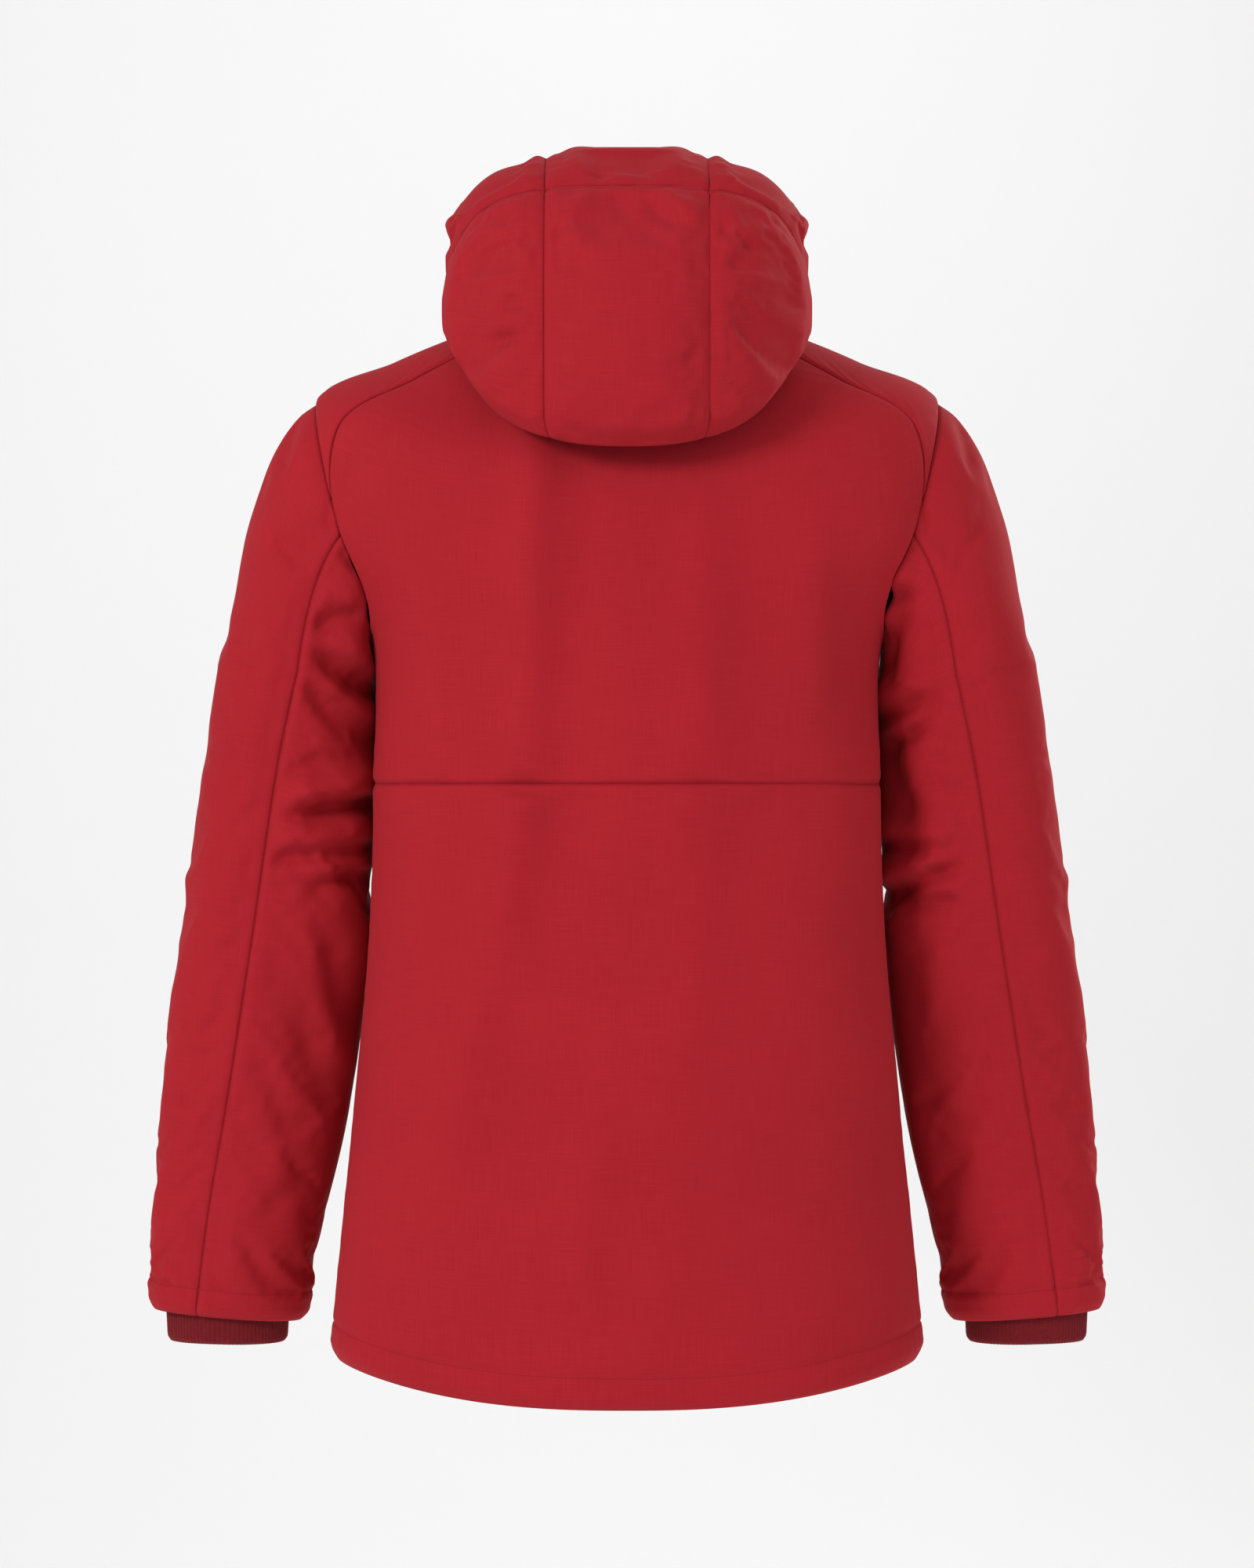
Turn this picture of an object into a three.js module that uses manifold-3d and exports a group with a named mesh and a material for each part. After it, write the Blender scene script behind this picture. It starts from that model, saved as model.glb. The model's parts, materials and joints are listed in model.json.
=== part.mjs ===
// A hooded, insulated ski jacket, filled out as if worn and zipped up.
// Millimetres. +Z is up, -Y is the front and +X is the wearer's left.
// The origin is the centre of the neck opening, level with the tops of the shoulders.
import * as THREE from 'three';
import { mergeVertices } from 'three/addons/utils/BufferGeometryUtils.js';
import Module from 'manifold-3d';

// ---- driving dimensions ----------------------------------------------------

const BODY_SCALE_X = 1;              // widens or narrows the whole body and hood
const BODY_LENGTH = 756;             // neck level down to the side hem
const HEM_DROP = 25;                 // the back hem hangs this much lower
const HEM_CURVE = 2.4;               // how late the hem turns down from the side
const BACK_SEAM_Z = -0.439 * BODY_LENGTH;  // seam between the upper and lower back
const UNDERARM_Z = -222;

const SHELL = 1.4;                   // outer fabric with its backing
const INSULATION = 5;
const LINING = 1.2;
const LAYER_GAP = 2;                 // air between two layers
const SEAM_GAP = 1.2;                // between two panels that meet at a seam
const BODY_TURN_WIDTH = 3.4;         // cloth in one degree of turn round the body
const SLEEVE_TURN_WIDTH = 1.1;       // and round a sleeve
const BODY_RING_SPACING = 110;       // between two of the body's rings
const NECK_RING_SPACING = 60;        // and between the upper ones
const SLEEVE_RING_SPACING = 85;
const HOOD_RIB_SPACING = 55;
const INSULATION_DEPTH = SHELL + LAYER_GAP;
const LINING_DEPTH = INSULATION_DEPTH + INSULATION + LAYER_GAP;

const ARMHOLE_TURN = 28;             // degrees round the body that the armhole reaches
const RAGLAN_TURN = 27.5;            // degrees from the shoulder line to a raglan seam
const SLEEVE_LENGTH = 690;           // top of the shoulder down to the cuff edge
const SLEEVE_CLEARANCE = 1.6;        // between the sleeve head and the armhole
const CUFF_RIB_LENGTH = 62;
const CUFF_RIB_SHOWS = 20;           // how far the rib stands out of the cuff
const CUFF_RIB_WALL = 3;

const HOOD_POLE = { y: 10, z: 16 };  // the point that the hood tips round
const HOOD_SEAM_X = 60;              // half the width of the hood's centre strip
const HOOD_BRIM_TURN = 43;           // degrees up from straight ahead to the face edge
const HOOD_BRIM_DEPTH = 7;           // degrees of brim along the face edge
const HOOD_CROWN_TURN = 140;         // the seam between top and back panels
const HOOD_END_TURN = 216;           // the lower edge behind the neck
const HOOD_SIDE_ANGLE = 80;          // degrees out to the last column of a hood rib
const HOOD_SIDE_LIFT = 13;           // degrees the lower edge rises over the shoulders

const COLLAR_HEIGHT = 62;
const COLLAR_LEAN = 6;

const ZIP_HALF_GAP = 7;              // half the gap between the front edges
const ZIP_SLOPE = 0.07;              // the front leans out this much going down
const FRONT_LINE = { y: -94, z: 50 };  // a point of the straight centre front line
const ZIP_TOP_Z = 31;
const ZIP_BOTTOM_Z = 2 - BODY_LENGTH;

const HAND_POCKET_ZIP = 160;
const CHEST_POCKET_ZIP = 140;
const POCKET_STANDOFF = 3;           // zip base above the middle of the shell it is sewn to

// ---- materials -------------------------------------------------------------

const cloth = (color) =>
  new THREE.MeshStandardMaterial({ color, roughness: 0.85, metalness: 0, side: THREE.DoubleSide });
const shellCloth = cloth('#ad242c');
const sideCloth = cloth('#a82932');
const hoodCloth = cloth('#aa232a');
const liningCloth = cloth('#2b2c30');
const wadding = cloth('#e9e7e0');
const ribKnit = cloth('#72131a');
const tapeCloth = cloth('#7c1a20');
const skirtCloth = cloth('#3a3b40');
const teethPlastic = new THREE.MeshStandardMaterial({ color: '#5d1418', roughness: 0.5 });
const zipMetal = new THREE.MeshStandardMaterial({ color: '#4a4c50', roughness: 0.35, metalness: 0.9 });
const pullRubber = new THREE.MeshStandardMaterial({ color: '#8c1d24', roughness: 0.6 });
const eyeletMetal = new THREE.MeshStandardMaterial({ color: '#6a6c70', roughness: 0.3, metalness: 0.9 });

// ---- small maths -----------------------------------------------------------

const RAD = Math.PI / 180;
const sinDeg = (a) => Math.sin(a * RAD);
const cosDeg = (a) => Math.cos(a * RAD);
const mix = (a, b, t) => a + (b - a) * t;
const clamp = (x, lo, hi) => Math.min(hi, Math.max(lo, x));
const signedPower = (x, p) => Math.sign(x) * Math.abs(x) ** p;

// A smooth curve through one value of each station, u counted in stations.
function along(stations, key, u) {
  const last = stations.length - 1;
  const i = clamp(Math.floor(u), 0, last - 1);
  const t = u - i;
  const [a, b] = [stations[i][key], stations[i + 1][key]];
  const before = i > 0 ? stations[i - 1][key] : 2 * a - b;
  const after = i < last - 1 ? stations[i + 2][key] : 2 * b - a;
  const [m0, m1] = [(b - before) / 2, (after - a) / 2];
  const [t2, t3] = [t * t, t * t * t];
  return a * (2 * t3 - 3 * t2 + 1) + m0 * (t3 - 2 * t2 + t) + b * (3 * t2 - 2 * t3) + m1 * (t3 - t2);
}

// ---- closed shells from a surface ------------------------------------------

// point(s, t) is a surface for s and t from 0 to 1, whose outside is on the side of
// ds x dt. The shell's outer face lies `depth` inside it, and its inner face `wall` further.
function shellGeometry(point, columns, rows, { depth = 0, wall = SHELL, ring = false } = {}) {
  const step = 1e-3;
  const across = new THREE.Vector3();
  const up = new THREE.Vector3();
  const outer = [];
  const inner = [];
  const columnCount = ring ? columns : columns + 1;
  for (let j = 0; j <= rows; j++) {
    for (let i = 0; i < columnCount; i++) {
      const s = i / columns;
      const t = j / rows;
      const [s0, s1] = ring ? [s - step, s + step] : [Math.max(0, s - step), Math.min(1, s + step)];
      const [t0, t1] = [Math.max(0, t - step), Math.min(1, t + step)];
      across.subVectors(point(s1, t), point(s0, t));
      up.subVectors(point(s, t1), point(s, t0));
      const normal = new THREE.Vector3().crossVectors(across, up).normalize();
      const p = point(s, t);
      outer.push(p.clone().addScaledVector(normal, -depth));
      inner.push(p.clone().addScaledVector(normal, -depth - wall));
    }
  }
  const positions = [...outer, ...inner].flatMap((p) => [p.x, p.y, p.z]);
  const half = outer.length;
  const at = (i, j, side) => side * half + j * columnCount + (i % columnCount);
  const faces = [];
  const quad = (a, b, c, d) => faces.push(a, b, c, a, c, d);
  for (let j = 0; j < rows; j++) {
    for (let i = 0; i < columns; i++) {
      quad(at(i, j, 0), at(i + 1, j, 0), at(i + 1, j + 1, 0), at(i, j + 1, 0));
      quad(at(i, j, 1), at(i, j + 1, 1), at(i + 1, j + 1, 1), at(i + 1, j, 1));
    }
  }
  for (let i = 0; i < columns; i++) {
    quad(at(i, 0, 0), at(i, 0, 1), at(i + 1, 0, 1), at(i + 1, 0, 0));
    quad(at(i, rows, 0), at(i + 1, rows, 0), at(i + 1, rows, 1), at(i, rows, 1));
  }
  if (!ring) {
    for (let j = 0; j < rows; j++) {
      quad(at(0, j, 0), at(0, j + 1, 0), at(0, j + 1, 1), at(0, j, 1));
      quad(at(columns, j, 0), at(columns, j, 1), at(columns, j + 1, 1), at(columns, j + 1, 0));
    }
  }
  const geometry = new THREE.BufferGeometry();
  geometry.setAttribute('position', new THREE.Float32BufferAttribute(positions, 3));
  geometry.setIndex(faces);
  geometry.computeVertexNormals();
  return geometry;
}

const jacket = new THREE.Group();

function add(name, geometry, material, parent = jacket) {
  const mesh = new THREE.Mesh(geometry, material);
  mesh.name = name;
  parent.add(mesh);
  return mesh;
}

// The same surface on the wearer's other side: mirrored in X, with s turned round so
// that its outside stays outside.
const mirrored = (point) => (s, t) => {
  const p = point(1 - s, t);
  p.x = -p.x;
  return p;
};
const onSide = (side, point) => (side === 'left' ? point : mirrored(point));
const SIDES = ['left', 'right'];

// ---- the body's surface ----------------------------------------------------

const frontY = (z) => FRONT_LINE.y - (FRONT_LINE.z - z) * ZIP_SLOPE;

// Rings from the hem to the neck: half width at the sides with their y and z, the
// back's y and z, the front's z, and how square the ring is.
const HEM_Z = -BODY_LENGTH;
const bodyZ = (share) => mix(HEM_Z, BACK_SEAM_Z, share);
const BODY = [
  { x: 222, sideY: 22, sideZ: HEM_Z, backY: 150, backZ: HEM_Z - HEM_DROP, frontZ: HEM_Z - 4, square: 2.5 },
  { x: 211.5, sideY: 23, sideZ: bodyZ(0.24), backY: 148, backZ: bodyZ(0.22), frontZ: bodyZ(0.24), square: 2.5 },
  { x: 201.5, sideY: 24, sideZ: bodyZ(0.48), backY: 145, backZ: bodyZ(0.47), frontZ: bodyZ(0.48), square: 2.5 },
  { x: 191, sideY: 25, sideZ: bodyZ(0.74), backY: 143, backZ: bodyZ(0.74), frontZ: bodyZ(0.74), square: 2.5 },
  { x: 186, sideY: 25, sideZ: BACK_SEAM_Z, backY: 142, backZ: BACK_SEAM_Z, frontZ: BACK_SEAM_Z, square: 2.5 },
  { x: 186, sideY: 20, sideZ: UNDERARM_Z, backY: 140, backZ: UNDERARM_Z, frontZ: UNDERARM_Z - 10, square: 2.5 },
  { x: 236, sideY: 12, sideZ: -130, backY: 136, backZ: -165, frontZ: -178, square: 2.5 },
  { x: 234, sideY: 5, sideZ: -46, backY: 128, backZ: -112, frontZ: -132, square: 2.4 },
  { x: 174, sideY: 2, sideZ: -15, backY: 113, backZ: -70, frontZ: -92, square: 2.3 },
  { x: 124, sideY: 0, sideZ: 6, backY: 96, backZ: -36, frontZ: -58, square: 2.2 },
  { x: 86, sideY: -3, sideZ: 20, backY: 78, backZ: -6, frontZ: -28, square: 2.1 },
].map((ring) => ({ ...ring, x: ring.x * BODY_SCALE_X }));
const HEM = 0;
const BACK_SEAM = 4;
const UNDERARM = 5;
const SHOULDER = 7;
const NECK = 10;
const SHOULDER_CURVE = 1.5;          // how late a ring above turns down from the shoulder line

// A point of the body: turn is 0 at the wearer's left side, 90 at the back and -90 at
// the front, and u runs from HEM to NECK.
function bodyPoint(turn, u) {
  const ring = (key) => along(BODY, key, u);
  const power = 2 / ring('square');
  const [c, s] = [cosDeg(turn), sinDeg(turn)];
  const sideY = ring('sideY');
  const rise = Math.abs(s) ** (u < BACK_SEAM ? HEM_CURVE : SHOULDER_CURVE);
  const z = mix(ring('sideZ'), ring(s > 0 ? 'backZ' : 'frontZ'), rise);
  const farY = s > 0 ? ring('backY') : frontY(ring('frontZ'));
  return new THREE.Vector3(
    ring('x') * signedPower(c, power),
    sideY + (farY - sideY) * Math.abs(s) ** power,
    z,
  );
}

// The armhole is an oval in turn and u, from the underarm to the tip of the shoulder.
const armholeTurn = (u) => ARMHOLE_TURN * Math.sqrt(Math.max(0, 1 - (u - UNDERARM - 1) ** 2));
const RAGLAN_START = UNDERARM + 1 + Math.sqrt(1 - (RAGLAN_TURN / ARMHOLE_TURN) ** 2);

// Where a body panel ends at the side: the side seam, then the armhole, then the raglan seam.
function sideEdge(u, gap) {
  const turnGap = gap / BODY_TURN_WIDTH;
  if (u <= UNDERARM) return turnGap;
  if (u <= RAGLAN_START) return armholeTurn(u) + turnGap;
  return RAGLAN_TURN + turnGap;
}

// Where a front panel ends at the zip: `x` from the middle.
function frontEdge(u, x) {
  const ring = along(BODY, 'x', u);
  return -Math.acos(clamp((x / ring) ** (along(BODY, 'square', u) / 2), 0, 1)) / RAD;
}

// Every wall of the body has its rows at the same heights, closer together where the
// armhole's edge turns.
const BODY_ROWS = [0, 1.2, 2.6, 4, UNDERARM, 5.12, 5.4, 5.8, RAGLAN_START, 6.6, SHOULDER, 7.6, 8.3, 9.1, NECK];
const SLEEVE_ROWS = [-1, -0.75, -0.5, -0.25, 0, 0.6, 1.4, 2.3, 3.2, 4.1, 5];
function rowsBetween(rows, low, high) {
  return [low, ...rows.filter((row) => row > low + 0.05 && row < high - 0.05), high];
}
function rowAt(rows, t) {
  const place = clamp(t, 0, 1) * (rows.length - 1);
  const i = Math.min(rows.length - 2, Math.floor(place));
  return mix(rows[i], rows[i + 1], place - i);
}

function backSurface(rows, gap) {
  return (s, t) => {
    const u = rowAt(rows, t);
    const edge = sideEdge(u, gap);
    return bodyPoint(mix(edge, 180 - edge, s), u);
  };
}

function frontSurface(rows, gap, zipEdge) {
  return (s, t) => {
    const u = rowAt(rows, t);
    return bodyPoint(mix(frontEdge(u, zipEdge), -sideEdge(u, gap), s), u);
  };
}

// Over the shoulder, between the two raglan seams, from the armhole's top to the neck.
function yokeSurface(gap) {
  const half = RAGLAN_TURN - gap / BODY_TURN_WIDTH;
  return (s, t) => {
    const turn = mix(-half, half, s);
    const low = UNDERARM + 1 + Math.sqrt(1 - (turn / ARMHOLE_TURN) ** 2) + gap / NECK_RING_SPACING;
    return bodyPoint(turn, mix(low, NECK, t));
  };
}

const SEAM_U = SEAM_GAP / 2 / BODY_RING_SPACING;
const HALF_SEAM = SEAM_GAP / 2;

// The solid of a wall whose rows are given, so that nested walls have facets that line up.
function addWall(name, surface, rows, columns, material, options) {
  add(name, shellGeometry(surface, columns, rows.length - 1, options), material);
}

const BACK_COLUMNS = 12;
const FRONT_COLUMNS = 6;
const lowerRows = rowsBetween(BODY_ROWS, HEM, BACK_SEAM - SEAM_U);
const upperRows = rowsBetween(BODY_ROWS, BACK_SEAM + SEAM_U, NECK);
const frontRows = rowsBetween(BODY_ROWS, HEM, NECK);
addWall('back_lower', backSurface(lowerRows, HALF_SEAM), lowerRows, BACK_COLUMNS, shellCloth);
addWall('back_upper', backSurface(upperRows, HALF_SEAM), upperRows, BACK_COLUMNS, shellCloth);
for (const side of SIDES) {
  const front = onSide(side, frontSurface(frontRows, HALF_SEAM, ZIP_HALF_GAP));
  addWall(`front_${side}`, front, frontRows, FRONT_COLUMNS, sideCloth);
  add(`yoke_${side}`, shellGeometry(onSide(side, yokeSurface(HALF_SEAM + 1)), 6, 6), shellCloth);
}

// Insulation and lining stop short of the hem, the neck and the zip.
const FLAP_HALF_WIDTH = 17;
const INNER_ZIP_EDGE = FLAP_HALF_WIDTH + 4;
const INNER_HEM = 0.22;
const INNER_GAP = 3;
const innerWalls = [
  ['insulation', INSULATION_DEPTH, INSULATION, wadding, NECK - 0.12],
  ['lining', LINING_DEPTH, LINING, liningCloth, NECK - 0.06],
];
for (const [layer, depth, wall, material, top] of innerWalls) {
  const rows = rowsBetween(BODY_ROWS, INNER_HEM, top);
  addWall(`${layer}_back`, backSurface(rows, INNER_GAP), rows, BACK_COLUMNS, material, { depth, wall });
  for (const side of SIDES) {
    const front = onSide(side, frontSurface(rows, INNER_GAP, INNER_ZIP_EDGE));
    addWall(`${layer}_front_${side}`, front, rows, FRONT_COLUMNS, material, { depth, wall });
  }
}
for (const side of SIDES) {
  const yoke = onSide(side, yokeSurface(INNER_GAP));
  add(`lining_yoke_${side}`, shellGeometry(yoke, 6, 6, { depth: LINING_DEPTH, wall: LINING }), liningCloth);
}

// ---- sleeves ---------------------------------------------------------------

// Level rings down the sleeve: its outer and inner edge in x, its middle and half
// depth in y, and how much higher its outer edge is than its middle.
const SHOULDER_TIP_Z = -44;
const CUFF_Z = SHOULDER_TIP_Z - SLEEVE_LENGTH;
const SLEEVE_TOP_Z = UNDERARM_Z - 28;
const sleeveZ = (share) => mix(SLEEVE_TOP_Z, CUFF_Z, share);
const SLEEVE = [
  { outer: 305, inner: 190, y: 0, halfDepth: 68, z: SLEEVE_TOP_Z, tilt: 16 },
  { outer: 322, inner: 190, y: -9, halfDepth: 66, z: sleeveZ(0.17), tilt: 11 },
  { outer: 339, inner: 197, y: -18, halfDepth: 61, z: sleeveZ(0.415), tilt: 9 },
  { outer: 352.5, inner: 212.5, y: -24, halfDepth: 55, z: sleeveZ(0.66), tilt: 7 },
  { outer: 359.5, inner: 229, y: -28, halfDepth: 49, z: sleeveZ(0.83), tilt: 6 },
  { outer: 364.5, inner: 242.5, y: -31, halfDepth: 43, z: CUFF_Z, tilt: 5 },
].map((ring) => ({ ...ring, outer: ring.outer * BODY_SCALE_X, inner: ring.inner * BODY_SCALE_X }));
const CUFF = SLEEVE.length - 1;
const SLEEVE_SQUARE = 2.2;

// turn is 0 on the sleeve's outer edge, 90 at its back and 180 on its inner edge.
function tubePoint(turn, w) {
  const ring = (key) => along(SLEEVE, key, w);
  const [outer, inner] = [ring('outer'), ring('inner')];
  const power = 2 / SLEEVE_SQUARE;
  const c = signedPower(cosDeg(turn), power);
  return new THREE.Vector3(
    (outer + inner) / 2 + ((outer - inner) / 2) * c,
    ring('y') + ring('halfDepth') * signedPower(sinDeg(turn), power),
    ring('z') + ring('tilt') * c,
  );
}

// The armhole's edge on the body, and the body's outward direction there.
const armholeAt = (turn) => [ARMHOLE_TURN * sinDeg(turn), UNDERARM + 1 + cosDeg(turn)];
function armholePoint(turn, lift) {
  const [a, u] = armholeAt(turn);
  const step = 0.01;
  const round = new THREE.Vector3().subVectors(bodyPoint(a + 1, u), bodyPoint(a - 1, u));
  const up = new THREE.Vector3().subVectors(bodyPoint(a, u + step), bodyPoint(a, u - step));
  return bodyPoint(a, u).addScaledVector(round.cross(up).normalize(), lift);
}

// The sleeve head: from the armhole (w = -1) it leaves outwards and down and joins the
// tube's first ring (w = 0).
function headPoint(turn, w) {
  const t = w + 1;
  const top = (1 + cosDeg(turn)) / 2;
  const start = armholePoint(turn, SLEEVE_CLEARANCE);
  const end = tubePoint(turn, 0);
  const reach = start.distanceTo(end);
  const leave = new THREE.Vector3(mix(0.45, 0.8, top), 0, mix(-0.9, -0.6, top));
  leave.multiplyScalar(reach * mix(0.8, 0.95, top));
  const arrive = new THREE.Vector3().subVectors(tubePoint(turn, 0.05), end).normalize().multiplyScalar(reach);
  const [t2, t3] = [t * t, t * t * t];
  return start.multiplyScalar(2 * t3 - 3 * t2 + 1)
    .addScaledVector(leave, t3 - 2 * t2 + t)
    .addScaledVector(end, 3 * t2 - 2 * t3)
    .addScaledVector(arrive, t3 - t2);
}
const sleevePoint = (turn, w) => (w < 0 ? headPoint(turn, w) : tubePoint(turn, w));

// The back seam leaves the armhole below the raglan seam's foot and drifts outwards down the arm.
const BACK_SEAM_TURNS = { armhole: 97, top: 94, cuff: 72 };
const FRONT_SEAM_TURNS = { armhole: -75, top: -86, cuff: -80 };
const seamTurn = (turns, w, ease) => (w < 0
  ? mix(turns.armhole, turns.top, w + 1)
  : mix(turns.top, turns.cuff, (w / CUFF) ** ease));
const backSeamTurn = (w) => seamTurn(BACK_SEAM_TURNS, w, 0.75);
const frontSeamTurn = (w) => seamTurn(FRONT_SEAM_TURNS, w, 1);

function sleeveSurface(panel, rows, gap) {
  return (s, t) => {
    const w = rowAt(rows, 1 - t);
    const turnGap = gap / SLEEVE_TURN_WIDTH;
    const [back, front] = [backSeamTurn(w), frontSeamTurn(w)];
    const turn = panel === 'outer'
      ? mix(front + turnGap, back - turnGap, s)
      : mix(back + turnGap, front + 360 - turnGap, s);
    return sleevePoint(turn, w);
  };
}
const HEAD = -1;
const CUT_W = SEAM_GAP / 2 / SLEEVE_RING_SPACING;
const wholeSleeve = (rows) => (s, t) => sleevePoint(360 * s, rowAt(rows, 1 - t));

// The rib cuff is a sleeve end of its own, drawn in inside the cuff.
const RIB_INSET = 14;
function ribPoint(s, t) {
  const w = CUFF;
  const edge = tubePoint(360 * s, w);
  const middle = new THREE.Vector3(
    (SLEEVE[CUFF].outer + SLEEVE[CUFF].inner) / 2 + 1,
    SLEEVE[CUFF].y,
    CUFF_Z,
  );
  const halfWidth = (SLEEVE[CUFF].outer - SLEEVE[CUFF].inner) / 2;
  const shrink = 1 - (RIB_INSET + 2 * (1 - t)) / halfWidth;
  edge.sub(middle).multiplyScalar(shrink).add(middle);
  edge.z += mix(-CUFF_RIB_SHOWS, CUFF_RIB_LENGTH - CUFF_RIB_SHOWS, t);
  return edge;
}

const headRows = rowsBetween(SLEEVE_ROWS, HEAD, -CUT_W);
const tubeRows = rowsBetween(SLEEVE_ROWS, CUT_W, CUFF);
const paddingRows = rowsBetween(SLEEVE_ROWS, HEAD + 0.25, CUFF - 0.55);
const sleeveLiningRows = rowsBetween(SLEEVE_ROWS, HEAD + 0.25, CUFF - 0.7);
const SLEEVE_COLUMNS = 14;
const SLEEVE_EASE = 1.9;              // more air inside the tighter curve of a sleeve
for (const side of SIDES) {
  for (const panel of ['outer', 'under']) {
    const half = SLEEVE_COLUMNS / 2;
    const head = onSide(side, sleeveSurface(panel, headRows, HALF_SEAM));
    const tube = onSide(side, sleeveSurface(panel, tubeRows, HALF_SEAM));
    addWall(`sleeve_head_${panel}_${side}`, head, headRows, half, sideCloth);
    addWall(`sleeve_${panel}_${side}`, tube, tubeRows, half, sideCloth);
  }
  addWall(`insulation_sleeve_${side}`, onSide(side, wholeSleeve(paddingRows)), paddingRows, SLEEVE_COLUMNS,
    wadding, { depth: INSULATION_DEPTH + SLEEVE_EASE, wall: INSULATION, ring: true });
  addWall(`lining_sleeve_${side}`, onSide(side, wholeSleeve(sleeveLiningRows)), sleeveLiningRows, SLEEVE_COLUMNS,
    liningCloth, { depth: LINING_DEPTH + SLEEVE_EASE, wall: LINING, ring: true });
  add(`rib_cuff_${side}`,
    shellGeometry(onSide(side, ribPoint), SLEEVE_COLUMNS + 4, 2, { wall: CUFF_RIB_WALL, ring: true }), ribKnit);
}

// ---- hood ------------------------------------------------------------------

// Ribs from the face edge, over the head, to behind the neck: the turn up from straight
// ahead, the reach from the pole at the middle, the half width, and how square the rib is.
const HOOD = [
  { turn: HOOD_BRIM_TURN, reach: 153, width: 120, square: 3 },
  { turn: 66, reach: 131, width: 128, square: 3.5 },
  { turn: 90, reach: 123, width: 133, square: 3.7 },
  { turn: 115, reach: 127, width: 134, square: 3.6 },
  { turn: HOOD_CROWN_TURN, reach: 136, width: 133, square: 3.3 },
  { turn: 168, reach: 149, width: 133, square: 2.8 },
  { turn: 194, reach: 166, width: 136, square: 2.5 },
  { turn: HOOD_END_TURN, reach: 187, width: 137, square: 2.4 },
].map((rib) => ({ ...rib, width: rib.width * BODY_SCALE_X }));
const CROWN = 4;
const HOOD_END = HOOD.length - 1;
const BRIM_END = HOOD_BRIM_DEPTH / (HOOD[1].turn - HOOD_BRIM_TURN);

// lean is -90 to 90 across the hood, from the wearer's right to the left. Towards the
// sides the lower ribs lift, so that the hood's edge clears the shoulders.
function hoodPoint(lean, v) {
  const rib = (key) => along(HOOD, key, v);
  const power = 2 / rib('square');
  const sideLift = HOOD_SIDE_LIFT * Math.abs(sinDeg(lean)) ** 8 * clamp((v - CROWN) / 3, 0, 1);
  const turn = rib('turn') - sideLift;
  const reach = rib('reach') * cosDeg(lean) ** power;
  return new THREE.Vector3(
    rib('width') * signedPower(sinDeg(lean), power),
    HOOD_POLE.y - cosDeg(turn) * reach,
    HOOD_POLE.z + sinDeg(turn) * reach,
  );
}

// The lean at which a rib passes x.
function hoodLean(v, x) {
  const share = (x / along(HOOD, 'width', v)) ** (along(HOOD, 'square', v) / 2);
  return Math.asin(clamp(share, 0, 1)) / RAD;
}

// panel is centre, or the left one of the two sides.
function hoodSurface(panel, low, high) {
  return (s, t) => {
    const v = mix(low, high, t);
    const inside = hoodLean(v, HOOD_SEAM_X - HALF_SEAM);
    const outside = hoodLean(v, HOOD_SEAM_X + HALF_SEAM);
    const lean = panel === 'centre' ? mix(-inside, inside, s) : mix(outside, HOOD_SIDE_ANGLE, s);
    return hoodPoint(lean, v);
  };
}
const HOOD_SEAM_V = SEAM_GAP / 2 / HOOD_RIB_SPACING;
const hoodParts = [
  ['hood_top', BRIM_END + HOOD_SEAM_V, CROWN - HOOD_SEAM_V, 6],
  ['hood_back', CROWN + HOOD_SEAM_V, HOOD_END, 6],
];
for (const [name, low, high, rows] of hoodParts) {
  const centre = hoodSurface('centre', low, high);
  add(`${name}_centre`, shellGeometry(centre, 5, rows), hoodCloth);
  for (const side of SIDES) {
    add(`${name}_${side}`, shellGeometry(onSide(side, hoodSurface('side', low, high)), 6, rows), hoodCloth);
  }
}
const wholeHood = (low, high, angle) => (s, t) => hoodPoint(mix(-angle, angle, s), mix(low, high, t));
add('hood_brim', shellGeometry(wholeHood(0, BRIM_END - HOOD_SEAM_V, HOOD_SIDE_ANGLE), 16, 1, { wall: 3 }), hoodCloth);
add('hood_lining',
  shellGeometry(wholeHood(BRIM_END + 0.1, HOOD_END - 0.6, HOOD_SIDE_ANGLE - 6), 16, 9, { depth: 4.5, wall: LINING }),
  liningCloth);

// ---- collar ----------------------------------------------------------------

// A stand collar on the neck ring, leaning in a little towards its top.
const COLLAR_FOOT = 2;
function collarPoint(turn, t) {
  const foot = bodyPoint(turn, NECK);
  const top = foot.clone();
  const lean = COLLAR_LEAN / BODY[NECK].x;
  top.x *= 1 - lean;
  top.y = foot.y + COLLAR_LEAN * (foot.y < 0 ? 0.72 : -0.6) * Math.abs(sinDeg(turn)) ** 1.2;
  top.z = foot.z + COLLAR_HEIGHT;
  const p = new THREE.Vector3().lerpVectors(foot, top, t);
  p.z += COLLAR_FOOT * (1 - t);
  if (sinDeg(turn) < -0.9) p.y = Math.min(p.y, mix(p.y, frontY(p.z), (-sinDeg(turn) - 0.9) * 10));
  return p;
}
function collarSurface(zipEdge) {
  const half = 90 + frontEdge(NECK, zipEdge);
  return (s, t) => collarPoint(mix(-90 + half, 270 - half, s), t);
}
add('collar', shellGeometry(collarSurface(ZIP_HALF_GAP), 24, 2), hoodCloth);
add('collar_lining', shellGeometry(collarSurface(INNER_ZIP_EDGE), 20, 2, { depth: 7, wall: LINING }), liningCloth);

// ---- hood underside: from the hood's lower edge back to the neck seam ---------

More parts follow.
